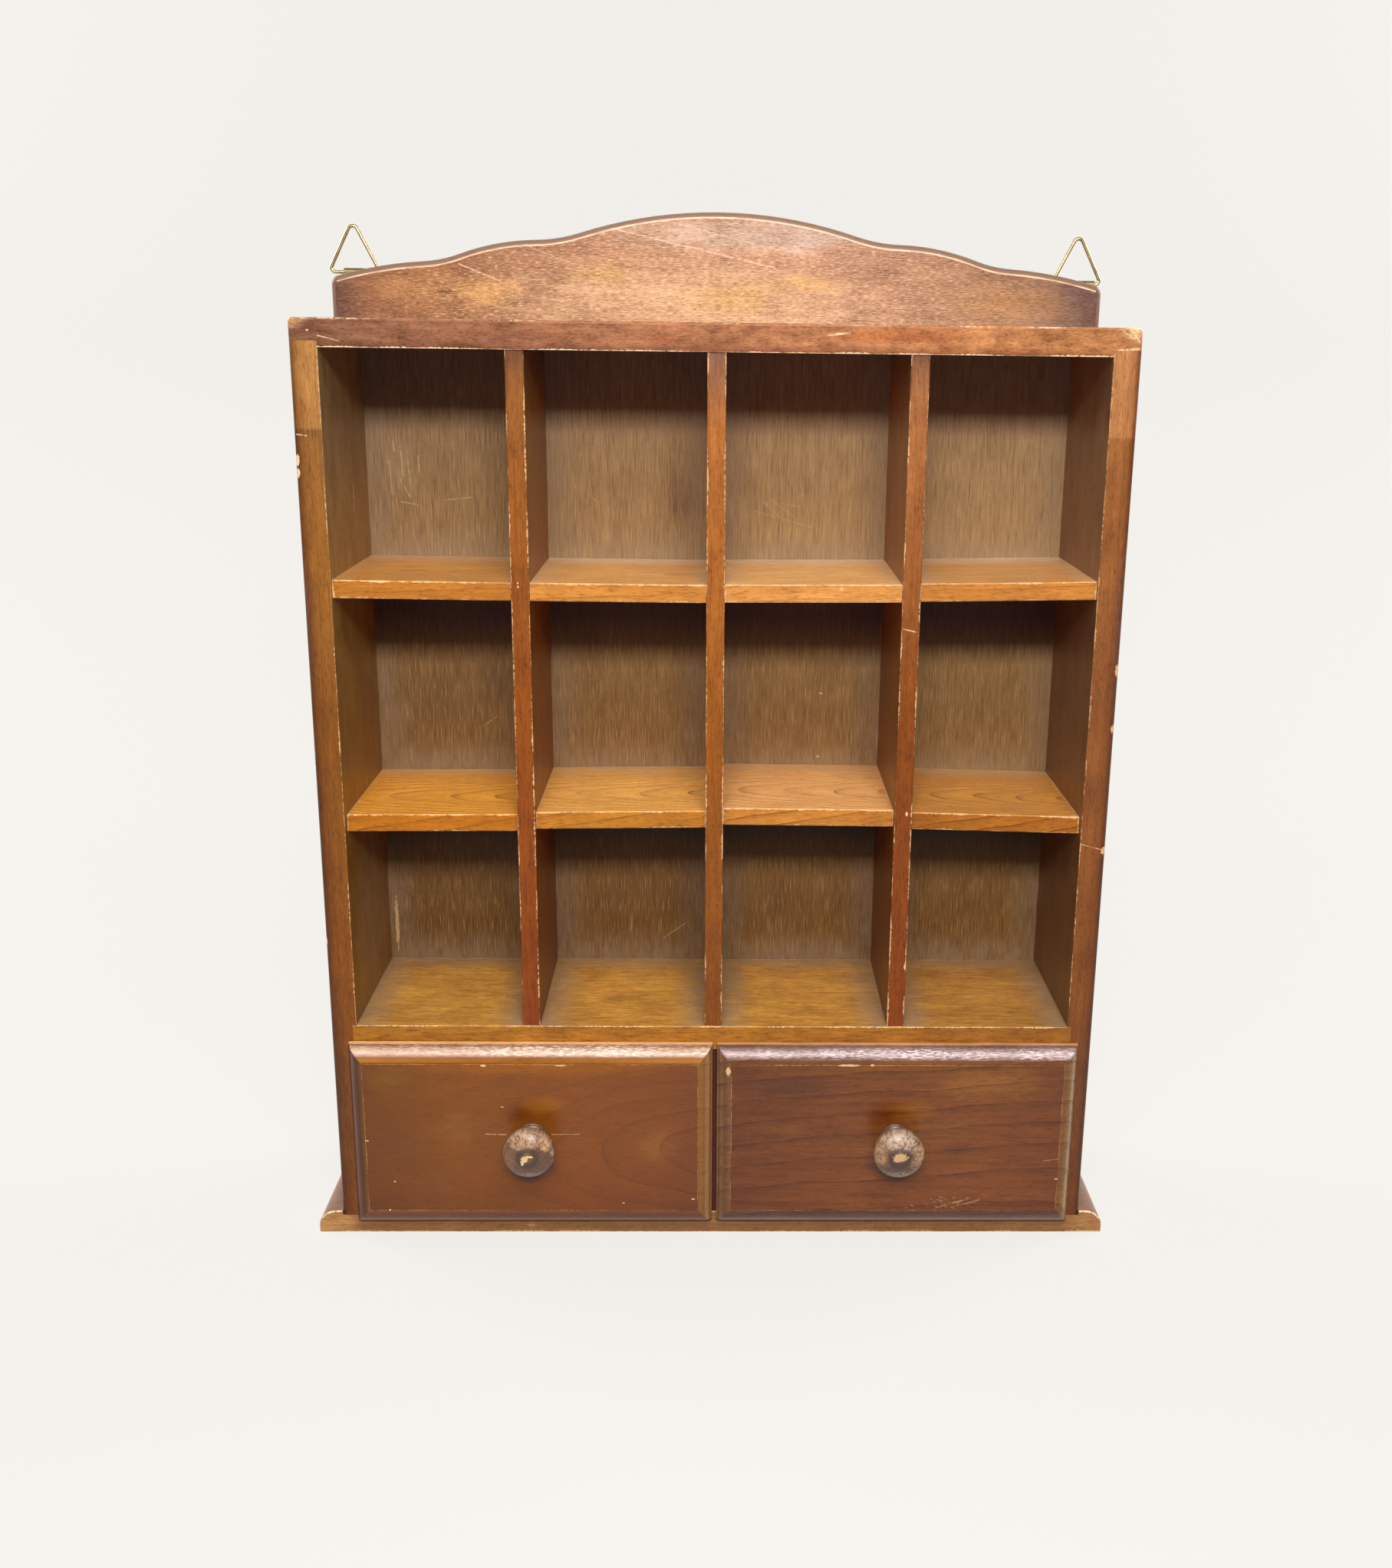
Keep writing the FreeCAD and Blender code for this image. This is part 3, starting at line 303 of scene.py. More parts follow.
        # Where the crest's front starts to turn over it is rubbed, and past that the stain is dark.
        rubbed, dark = rim
        turned = add(tree, "Math", [add(tree, "MapRange", [ahead, 0.985, 0.95, 0.0, 0.9]),
                                    add(tree, "MapRange", [ahead, -0.5, -0.2, 0.0, 1.0])], operation="MULTIPLY")
        shown = add(tree, "Mix", {0: turned, 6: shown, 7: dark}, data_type="RGBA")
        first = add(tree, "MapRange", [ahead, 0.9995, 0.997, 0.0, 1.0])
        last = add(tree, "MapRange", [ahead, 0.955, 0.985, 0.0, 1.0])
        steep = add(tree, "Math", [add(tree, "Math", [facing[0]], operation="ABSOLUTE"), facing[2]], operation="SUBTRACT")
        amount = add(tree, "Math", [add(tree, "Math", [first, last], operation="MULTIPLY"), patchy],
                     operation="MULTIPLY")
        amount = add(tree, "Math", [amount, add(tree, "MapRange", [steep, 0.0, -0.01, 0.0, 1.0])],
                     operation="MULTIPLY")
        shown = add(tree, "Mix", {0: amount, 6: shown, 7: rubbed}, data_type="RGBA")

    # Dust lies on what faces up, and soil is rubbed into the corners along the walls.
    if walls:
        gap = wall_gap(tree, split, walls)
        if dust:
            near = add(tree, "MapRange", [gap, dust_reach * MM, 0.0, 0.12, 1.0], interpolation_type="SMOOTHSTEP")
            film = add(tree, "MapRange", [grit, 0.30, 0.62, 0.45 * dust, dust])
            film = add(tree, "Math", [film, near], operation="MULTIPLY")
            if painted_shade_under_shelves:
                film = add(tree, "Math", [film, add(tree, "Clamp", [ahead])], operation="MULTIPLY")
            if up:
                film = add(tree, "Math", [film, add(tree, "MapRange", [facing[2], 0.45, 0.85, 0.0, 1.0])],
                           operation="MULTIPLY")
            shown = add(tree, "Mix", {0: film, 6: shown, 7: dust_tint}, data_type="RGBA")
    for ceiling, strength, tint in painted_shade_under_shelves:
        # Painted shade: the front of the back panel is darkened below each shelf, where the shelf casts its shadow, and
        # tinted towards the colour of that shadow.
        below = add(tree, "Math", [ceiling * MM, split[2]], operation="SUBTRACT")
        level = add(tree, "Math", [add(tree, "MapRange", [below, -0.1 * MM, 0.0, 0.0, 1.0]),
                                   add(tree, "MapRange", [below, 14 * MM, 38 * MM, strength, 0.0],
                                       interpolation_type="SMOOTHSTEP")], operation="MULTIPLY")
        level = add(tree, "Math", [level, add(tree, "Clamp", [ahead])], operation="MULTIPLY")
        shown = add(tree, "Mix", {0: level, 6: shown, 7: tint}, data_type="RGBA", blend_type="MULTIPLY")

    # Bare wood along the arrises, in the chips and in the scratches.
    worn = []
    if wear:
        box = box or ([low[i] - grow[i] for i in range(3)], [high[i] + grow[i] for i in range(3)])
        broad = grains(tree, at, 14, (1, 1, 1), (0, seed, seed), 2.0)
        rub = add(tree, "MapRange", [broad, 0.36, 0.64, 0.2, 1.0])
        rub = add(tree, "Math", [rub, add(tree, "MapRange", [fine, 0.34, 0.56, 0.2, 1.0])], operation="MULTIPLY")
        width = add(tree, "Math", [rub, 1.35 * MM * wear], operation="MULTIPLY")
        inside = add(tree, "Math", [width, edge_gap(tree, split, *box, tilt)], operation="SUBTRACT")
        worn.append((bare, add(tree, "MapRange", [inside, -0.04 * MM, 0.16 * MM, 0.0, 0.9])))
    if spots:
        worn.append((nick or bare, chips(tree, at, spots, fine)))
    if lines:
        worn.append((nick or bare, scratches(tree, at, lines, fine)))
    for middle, half, slant in scuffs:
        # Many short strokes, all leaning the same way, where something rubbed past.
        turned = add(tree, "Mapping", {"Vector": at, "Rotation": (0, math.radians(slant), 0)})
        strokes = grains(tree, turned, 0.42, (5.0, 1.0, 1.0), (seed, 0, seed), 2.0)
        inside = add(tree, "Math", [reach(tree, at, middle, half), -0.13, strokes], operation="MULTIPLY_ADD")
        worn.append((bare, add(tree, "MapRange", [inside, 0.53, 0.59, 0.0, 0.9])))
    rough = add(tree, "Math", [streaks, 0.14, gloss - 0.07], operation="MULTIPLY_ADD")
    height = add(tree, "Math", [fibres, 1.0, add(tree, "Math", [late, -0.10], operation="MULTIPLY")],
                 operation="MULTIPLY_ADD")
    for colour, amount in worn:
        shown = add(tree, "Mix", {0: amount, 6: shown, 7: colour}, data_type="RGBA")
    if worn:
        raw = nearest(tree, [amount for colour, amount in worn], "MAXIMUM")
        rough = nearest(tree, [rough, add(tree, "Math", [raw, 0.65], operation="MULTIPLY")], "MAXIMUM")
        height = add(tree, "Math", [raw, -0.6, height], operation="MULTIPLY_ADD")
    bump = add(tree, "Bump", {"Height": height, "Strength": 0.5, "Distance": ridges * MM})
    shader = add(tree, "BsdfPrincipled", {"Base Color": shown, "Roughness": rough, "IOR": 1.5,
                                          "Specular IOR Level": 0.28, "Coat Weight": coat,
                                          "Coat Roughness": 0.20, "Normal": bump, "Coat Normal": bump})
    add(tree, "OutputMaterial", {"Surface": shader})
    return material


def dress(node, material):
    """Puts a material on a CAD node."""
    piece = nodes[node]
    piece.data.materials.clear()
    piece.data.materials.append(material)


# Side boards: orange-brown above and redder and darker below, partly the stain and partly painted shade where the light
# falls off; dark towards the outer arris, partly painted shade, and chipped there.
dress("side_left", stained_hardwood(
    "side_left_stained_alder", "side_left",
    ((0, "#804811"), (0.30, "#884e14"), (0.58, "#865117"), (0.80, "#9c662b"), (0.905, "#8f6030"), (1, "#926434")),
    capped=(318.4, (1.6, 1.78, 1.95, 1)),
    across=((0, "#8f7a70"), (0.30, "#e8e2de"), (0.6, "#ffffff"), (1, "#ffffff")),
    seed=3.1, ring=3.4, pith=(0.03, -0.02), lean=1.3, rings=0.22, grow=(0, 0, 0.02), wear=0.45, bare="#e6bb8a",
    nick="#f6dcb6",
    # The inner face is made lighter and greyer with painted light.
    flank=(1, (1.3, 1.9, 3.4, 1)),
    spots=(((-149.4, -37.7, 308), (0.9, 1.5, 2.2)), ((-149.4, -37.7, 303.6), (0.9, 1.5, 1.7)),
           ((-150, -37.7, 126), (0.8, 1.5, 1.4))),
    lines=(((-149.6, -37.7, 317.1), (-145.4, -37.7, 316.7), 0.35, 0.9),
           ((-140, 7.8, 296), (-140, 7.9, 285.4), 0.5, 2.5)),
    # The first patch lightens the inner face low down, painted light; the dark strips by the outer arris are painted
    # shade.
    shade=(("#9a6c3c", 0.6, (-140, 2, 128), (3, 38, 52)), ("#6d4532", 0.55, (-148.5, -37.7, 255), (3, 6, 42)), ("#5d3a28", 0.45, (-147.5, -37.7, 60), (4, 6, 60)))))
dress("side_right", stained_hardwood(
    "side_right_stained_alder", "side_right",
    ((0, "#7a431a"), (0.30, "#844d1e"), (0.60, "#8a5228"), (0.908, "#9c6434"), (1, "#9e6738")),
    capped=(318.4, (1.39, 1.55, 2.0, 1)),
    across=((0, "#ffffff"), (0.5, "#ffffff"), (0.75, "#e6dedb"), (1, "#8b766e")),
    seed=7.7, ring=3.2, pith=(0.03, 0.03), lean=-1.2, rings=0.22, grow=(0, 0, 0.02), wear=0.45, bare="#e2b484",
    # The inner face is made lighter and greyer with painted light.
    flank=(-1, (0.95, 1.32, 2.6, 1)),
    spots=(((149.6, -37.7, 234.3), (1.0, 1.4, 2.6)), ((149.5, -37.7, 212.3), (1.0, 1.4, 1.8)),
           ((149.3, -37.7, 164.2), (1.1, 1.4, 1.6))),
    lines=(((139.9, -37.7, 166.9), (148.9, -37.7, 164.5), 0.30, 0.9),),
    # The dark strips by the outer arris are painted shade.
    shade=(("#6b4535", 0.5, (148.5, -37.7, 250), (3, 6, 45)), ("#5b3a2b", 0.45, (147.5, -37.7, 60), (4, 6, 60)))))
dress("top_board", stained_hardwood(
    "top_board_stained_alder", "top_board",
    ((0, "#805743"), (0.25, "#996445"), (0.55, "#ab6f49"), (0.8, "#b57949"), (1, "#ae7548")),
    "X", across=((0, "#c9b2a8"), (0.3, "#ffffff"), (0.8, "#ffffff"), (1, "#f4e4d4")), seed=1.9, ring=2.6,
    pith=(0.03, 0.02), lean=0.8, slope=0.6, rings=0.18, grain=(0.55, 3.0, 0.8), streak=(3.0, 2.4, 1.5),
    mottle=1.1, wear=0.45, bare="#f2d8b4", up=(1.25, 1.22, 1.2, 1),
    nick="#ecd0a4",
    spots=(((-143.1, -37.7, 352.7), (0.4, 0.9, 0.3)), ((42.7, -37.7, 353.7), (1.6, 0.9, 0.35))),
    shade=(("#ecc08a", 1.0, (-149, -37.7, 357), (7.5, 5, 4.6)), ("#f8cf9c", 1.0, (149, -37.7, 356), (10, 5, 5.4)),
           ("#b8622a", 0.6, (64, -37.7, 353), (34, 5, 3)), ("#6f3c2c", 0.5, (-70, -37.7, 352), (16, 5, 3)),
           ("#b8622a", 0.5, (-20, -37.7, 351), (12, 5, 2))),
    lines=(((-139.5, -37.7, 350.9), (-132.4, -37.7, 349.2), 0.30, 0.9),
           ((-150, -37.75, 357), (150, -37.75, 357), 0.4, 3.0),
           ((140, -37.75, 347.4), (141.2, -37.75, 349.3), 0.4, 1.6), ((141, -37.75, 349.3), (149.6, -37.75, 349.9), 0.4, 1.6),
           ((145, -37.75, 356.8), (150, -37.75, 350.8), 0.35, 1.6), ((141.5, -37.75, 356.6), (147, -37.75, 353.2), 0.25, 1.0),
           ((38.9, -37.7, 353.2), (46.3, -37.7, 354.1), 0.55, 0.6))))
dress("base_board", stained_hardwood(
    "base_board_stained_alder", "base_board",
    ((0, "#c99c64"), (0.05, "#a17145"), (0.5, "#9e6f45"), (0.95, "#a17145"), (1, "#c0935e")),
    "X", seed=5.2, ring=2.4, pith=(0.03, 0.02), lean=0.7, rings=0.25, wear=0.6, bare="#e0bb8c", nick="#ffe8c6",
    up=(0.42, 0.27, 0.32, 1), dust=0.35, walls=((-150, 150), (), ()),
    shade=(("#c7945c", 0.95, (-152, -37.7, 4.2), (9, 4, 6)), ("#b27e53", 0.9, (156.5, -37.7, 5.0), (6, 4, 6)),
           ("#c79a68", 0.7, (-74, -37.7, 3), (3, 3, 1.2))),
    lines=(((-150, -37.75, 9.3), (-153.1, -37.75, 9.3), 0.6, 2.0), ((-153.1, -37.75, 9.3), (-156.4, -37.75, 8.4), 0.55, 2.0),
           ((-156.4, -37.75, 8.4), (-158.7, -37.75, 6.1), 0.5, 1.6), ((150, -37.75, 9.3), (153.1, -37.75, 9.3), 0.6, 2.0),
           ((153.1, -37.75, 9.3), (156.4, -37.75, 8.4), 0.55, 2.0), ((156.4, -37.75, 8.4), (158.7, -37.75, 6.1), 0.5, 1.8))))
# Deck: its top face is made much lighter than its front with painted light, and it is dusty along the walls.
dress("deck_board", stained_hardwood(
    "deck_board_stained_alder", "deck_board",
    ((0, "#a66e21"), (0.5, "#ae7222"), (0.75, "#a56b21"), (1, "#976120")), "X", seed=8.4, ring=3.2, pith=(0.004, 0.012),
    lean=1.0, slope=3.0, rings=0.25, streak=(1.5, 5.0, 1.0), mottle=1.1, grow=(0.02, 0, 0), wear=0.45, bare="#ecc490", up=(1.7, 2.05, 3.3, 1),
    dust=0.75, walls=((-140, -75, -68.2, -3.7, 3.1, 68.3, 75.1, 140), (34.7,), ())))
# Crest: tan with golden patches; lighter in the middle and pinker along the top with a painted sheen, and pale glints
# on its fibres painted as highlights.
dress("crest_board", stained_hardwood(
    "crest_board_stained_alder", "crest_board",
    ((0, "#694e48"), (0.05, "#906145"), (0.13, "#a7774f"), (0.22, "#a3795a"), (0.38, "#bf9573"),
     (0.55, "#caa586"), (0.72, "#b48e75"), (0.86, "#a38064"), (0.95, "#876958"), (1, "#635256")),
    "X", across=((0, "#fffdf6"), (0.45, "#fff6ee"), (1, "#ecd8da")),
    seed=2.6, mottle=1.05, ring=2.2, pith=(0.045, 0.04), lean=1.0, slope=-1.0, rings=0.10, fibre=0.4,
    grain=(0.42, 5.5, 0.9), streak=(1.3, 8.0, 0.9), glints=0.6, ragged=1.6, gloss=0.44, coat=0.15, wear=0,
    bare="#f8d6ba", rim=("#f8dcc0", "#8a6d5c"),
    spots=(((-60, 29.8, 391.4), (6, 1, 0.5)), ((-52, 29.8, 392.8), (3, 1, 0.5))),
    lines=(((-99.8, 29.8, 377.9), (-84.2, 29.8, 371.9), 0.4, 0.8),
           ((-74, 29.8, 385), (-56, 29.8, 378.5), 0.3, 0.4),
           ((-40.3, 29.8, 391.5), (21.7, 29.8, 378.1), 0.4, 0.75),
           ((-22.6, 29.8, 395.3), (14.0, 29.8, 386.5), 0.3, 0.5)),
    # The large pale patch in the middle is partly painted sheen, and the pale patches near the top at x 0 and x 30 are
    # painted sheen.
    shade=(("#d3ad87", 0.85, (-18, 29.8, 366), (88, 9, 17)), ("#cab09d", 0.8, (0, 29.8, 390), (62, 6, 8)),
           ("#ab7a4c", 0.85, (-121, 29.8, 369), (24, 6, 8)), ("#ce9c5e", 0.75, (-90, 29.8, 368), (19, 6, 9)),
           ("#6f4024", 0.8, (-105.5, 29.8, 367.6), (7, 6, 1.3)), ("#7a4a2c", 0.5, (-47, 29.8, 371), (6, 6, 1.0)),
           ("#cda368", 0.85, (5, 29.8, 367), (24, 6, 8)), ("#cda368", 0.75, (-44, 29.8, 375), (16, 6, 6)),
           ("#cda368", 0.75, (34, 29.8, 372), (20, 6, 5)), ("#c4aca2", 0.75, (30, 29.8, 389), (32, 6, 8)),
           ("#b18457", 0.7, (113, 29.8, 366), (28, 6, 8)), ("#6a4650", 0.6, (140, 29.8, 372), (10, 6, 9)),
           ("#6b4434", 0.7, (-146, 29.8, 364), (7, 6, 9)), ("#6b4434", 0.7, (146, 29.8, 363), (7, 6, 9)))))

# Dividers: orange-brown, mottled, with a fine pale line on each arris, and their side faces made lighter with painted
# light.
for node, tone, seed, spots, lines in (
        ("divider_1", ((0, "#873c06"), (0.5, "#934d0b"), (0.93, "#985d25"), (1, "#6e442a")), 4.4,
         (((-68.4, -37.1, 206.1), (0.5, 1.0, 1.0)), ((-68.3, -37.1, 189.8), (0.5, 0.8, 0.8)),
          ((-72.4, -37.1, 264.9), (0.3, 0.8, 0.35)), ((-72.3, -37.1, 263.6), (0.3, 0.8, 0.4))), ()),
        ("divider_2", ((0, "#84480f"), (0.5, "#9c5a15"), (0.90, "#b26d32"), (1, "#7e5543")), 6.1, (), ()),
        ("divider_3", ((0, "#843c04"), (0.5, "#87460b"), (0.93, "#a66a3c"), (1, "#764b30")), 9.3,
         (((72.9, -37.1, 178.3), (0.5, 1.0, 0.9)), ((74.6, -37.1, 116.1), (0.5, 1.0, 1.2))),
         (((69.1, -37.1, 249.3), (73.9, -37.1, 248.2), 0.35, 0.9),))):
    dress(node, stained_hardwood(
        node + "_stained_alder", node, tone, seed=seed, ring=2.4, pith=(0.02, 0.012), lean=1.4, rings=0.25,
        grow=(0, 0, 0.02), wear=0.5, bare="#f0c898", spots=spots, lines=lines, flank=(0, (1.0, 1.15, 1.6, 1))))

# Short shelves: brighter orange, rubbed along the front edge, dusty towards the back, their tops made lighter than
# their fronts with painted light.
BAYS = ((-140.0, -75.0), (-68.2, -3.7), (3.1, 68.3), (75.1, 140.0))
for node, tone, rise, spots in (
        ("shelf_r1_c1", "#bf7b2d", -0.4, (((-123, -35.5, 265.0), (4, 1.2, 0.8)),)),
        ("shelf_r1_c2", "#cd8a3d", -0.2, ()),
        ("shelf_r1_c3", "#da9950", 0.6, (((45.9, -35.5, 263.6), (0.8, 0.8, 0.6)),)),
        ("shelf_r1_c4", "#c58139", 1.3, ()),
        ("shelf_r2_c1", "#c27716", 0.5, ()),
        ("shelf_r2_c2", "#c78329", 0.9, ()),
        ("shelf_r2_c3", "#ca8636", -0.4, (((33, -32.9, 179.0), (1.2, 1.2, 0.9)), ((44.8, -32.9, 179.0), (1.2, 1.2, 0.9)))),
        ("shelf_r2_c4", "#ad691b", -1.4, (((138.5, -32.9, 177.3), (2.4, 2.5, 1.6)),))):
    bay = BAYS[int(node[-1]) - 1]
    second = "r2" in node
    low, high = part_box(node)
    slack = abs(rise) / 2 * MM
    film = 0.6 if second else 0.45 if bay is BAYS[0] else 0.85
    dress(node, stained_hardwood(
        node + "_stained_alder", node, tone, "X", seed=sum(map(ord, node)) % 11 + 0.37,
        ring=2.6 if second else 3.4, pith=(0.004, 0.014 if second else 0.02), lean=1.5,
        slope=8.0 if second else 1.5, rings=0.6 if second else 0.3, mottle=0.8, wear=0.6,
        box=((low[0], low[1], low[2] + slack), (high[0], high[1], high[2] - slack)),
        tilt=rise * MM / (high[0] - low[0]),
        bare="#ecc28c", up=(1.85, 2.4, 5.4, 1) if second else (1.4, 1.6, 1.9, 1), spots=spots,
        dust=film, dust_tint="#dcc3a0" if second else "#fff0d8", dust_reach=18 if second else 26, walls=((bay[0] - 14, bay[1] + 14), (34.7,), ())))

# Back: thin birch plywood with a brown stain, dusty in the corners of each cubby, and darkened below each shelf with
# painted shade.
dress("back_panel", stained_hardwood(
    "stained_birch_plywood", "back_panel",
    ((0, "#775525"), (0.30, "#7f5b2b"), (0.50, "#8b693a"), (0.62, "#927346"), (0.85, "#ac8f66"), (1, "#9d8261")),
    across=((0, "#e0dcd8"), (0.4, "#f2eee8"), (1, "#ffffff")), seed=0.7, mottle=0.6, ring=5.5,
    pith=(0.012, 0.03), lean=0.6, slope=0.4, rings=0.16, fibre=0.3, gloss=0.5, coat=0.05, wear=0,
    grain=(0.36, 26.0, 1.2), streak=(0.9, 24.0, 1.0), glints=0.45,
    shade=(("#b09a76", 0.6, (-126, 34.7, 302), (9, 5, 16)), ("#a98a60", 0.5, (-52, 34.7, 292), (12, 5, 14)),
           ("#6d4a34", 0.5, (-16, 34.7, 290), (12, 5, 16)), ("#a68c66", 0.45, (36, 34.7, 292), (16, 5, 12)),
           ("#a68c66", 0.45, (98, 34.7, 290), (12, 5, 16)), ("#6b4e38", 0.45, (-90, 34.7, 214), (12, 5, 14))),
    dust=0.45, walls=((-140, -75, -68.2, -3.7, 3.1, 68.3, 75.1, 140), (), (90.8, 176.5, 265)),
    # Painted shade below each shelf: the height of its underside, a strength and the tint of its shadow.
    painted_shade_under_shelves=((346.9, 0.8, "#d6d0ff"), (258.2, 0.9, "#743c70"), (170.2, 0.95, "#48201a")),
    bare="#c9a97c",
    spots=(((43.7, 34.7, 209.5), (0.8, 1, 0.5)), ((43, 34.7, 182.4), (1.0, 1, 0.5)), ((-137, 34.7, 107), (0.8, 1, 12))),
    lines=(((18.8, 34.7, 288.3), (27, 34.7, 280.6), 0.35, 0.7), ((21.5, 34.7, 289.5), (31, 34.7, 282.4), 0.3, 0.5),
           ((-131, 34.7, 303), (-130.4, 34.7, 290), 0.35, 1.3), ((-126.5, 34.7, 309), (-125.6, 34.7, 296), 0.35, 1.5),
           ((-123.6, 34.7, 303), (-123.2, 34.7, 294), 0.35, 1.3), ((-119.5, 34.7, 305), (-119.3, 34.7, 298), 0.3, 1.2),
           ((15, 34.7, 284.6), (38, 34.7, 278.4), 0.3, 0.5), ((26, 34.7, 287.6), (33.6, 34.7, 286.4), 0.3, 0.5),
           ((-57.9, 34.7, 299), (-56.6, 34.7, 291), 0.35, 0.6), ((-52, 34.7, 291), (-48.4, 34.7, 287.5), 0.35, 0.6),
           ((-129.2, 34.7, 310.6), (-128.8, 34.7, 306.7), 0.45, 1.6), ((-126.9, 34.7, 295.6), (-123.2, 34.7, 288.7), 0.4, 1.5),
           ((-127, 34.7, 286.8), (-120.3, 34.7, 285.6), 0.35, 0.9), ((-110.1, 34.7, 287.6), (-98.4, 34.7, 288.9), 0.35, 0.9),
           ((-21.9, 34.7, 100.7), (-12.9, 34.7, 107.2), 0.4, 0.7), ((-96.5, 34.7, 194.9), (-91.3, 34.7, 198.6), 0.4, 0.6))))

# Drawer fronts: one smooth orange-brown with faint arches, one darker and redder with lines
# that rise to the right. Their roundovers carry painted light: a pale highlight band with painted glitter on top and a
# pale lit lip edge, and darker painted shade below; a painted shadow lies below each knob.
dress("drawer_left_front", stained_hardwood(
    "drawer_left_stained_alder", "drawer_left_front",
    ((0, "#6c3a0c"), (0.08, "#754009"), (0.25, "#824a0b"), (0.6, "#864a16"), (0.85, "#804719"), (1, "#76411a")),
    "X", across=((0, "#e6d6d2"), (0.25, "#fbf5f2"), (0.5, "#ffffff"), (1, "#ffffff")), seed=2.2, mottle=0.4,
    ring=5.5, pith=(0.035, 0.004), lean=-14.0, slope=0.5, rings=(0.0, 0.26), fibre=0.2, gloss=0.34, coat=0.3,
    ridges=0.2, box=((-0.1376, -0.04465, 0.0135), (-0.0060, 1.0, 0.0775)), wear=0.28, bare="#c28c4e", nick="#ecca98",
    # The moulding runs are partly stain and partly painted light: the upper run holds a painted highlight band and a
    # pale lit lip edge, the lower run is darker with painted shade, and the last colour is the painted glitter.
    mould=((-137.6, -6.0, 13.5, 77.5), (5.6, 6.7),
           (((0, "#7a4c1c"), (0.15, "#664018"), (0.35, "#512a10"), (0.6, "#63341c"), (0.85, "#6d3d28"), (0.95, "#523018"),
             (1, "#4a2813")),
            ((0, "#9a6426"), (0.2, "#8d612a"), (0.45, "#895a2c"), (0.7, "#b48959"), (0.88, "#b2814f"), (0.95, "#915e2a"),
             (1, "#5a2c10")),
            ((0, "#8a5636"), (0.25, "#6b3e28"), (0.5, "#774a38"), (0.68, "#966652"), (0.85, "#603923"), (1, "#4a2a16")),
            ((0, "#a8681c"), (0.2, "#c28434"), (0.34, "#ac703d"), (0.6, "#dcbcaa"), (0.85, "#c89a78"), (0.92, "#8a5a38"),
             (1, "#ffce94"))), "#fff0e8", (0.40, 0.60, 1.0, 0.86)),
    spots=(((-90, -44.6, 76.9), (1.1, 1, 0.5)), ((-83.1, -44.6, 59.2), (0.6, 1, 0.25)),
           ((-137.0, -44.6, 44.4), (0.8, 1, 0.3)), ((-126.8, -44.6, 26.5), (0.4, 1, 0.3)),
           ((-129.3, -44.6, 13.7), (0.5, 1, 0.5)), ((-35.8, -44.6, 17), (0.5, 1, 0.3)),
           ((-8.0, -44.6, 18.7), (0.7, 1, 0.3)), ((-60, -44.6, 77.0), (2.5, 1, 0.3))),
    lines=(((-90, -44.6, 47.4), (-82, -44.6, 47.2), 0.3, 0.7), ((-64, -44.6, 47.3), (-53, -44.6, 47.4), 0.3, 0.4)),
    shade=(("#6e3606", 0.75, (-77, -44.6, 57.0), (9, 5, 7)), ("#a0621a", 0.7, (-67, -44.6, 60.5), (12, 5, 6)),
           ("#9c5c0c", 0.9, (-72, -44.6, 76.5), (75, 5, 6)), ("#80540c", 0.7, (-128, -44.6, 70), (12, 5, 9)),
           ("#70421a", 0.55, (-122, -44.6, 40), (13, 5, 18)), ("#8f5c2c", 0.45, (-100, -44.6, 50), (12, 5, 12)),
           ("#99652f", 0.45, (-22, -44.6, 42), (12, 5, 11)), ("#764524", 0.45, (-108, -44.6, 27), (12, 5, 9)),
           # This last patch, below the knob, is a painted shadow.
           ("#643a22", 0.5, (-72, -44.6, 33), (13, 5, 7)))))
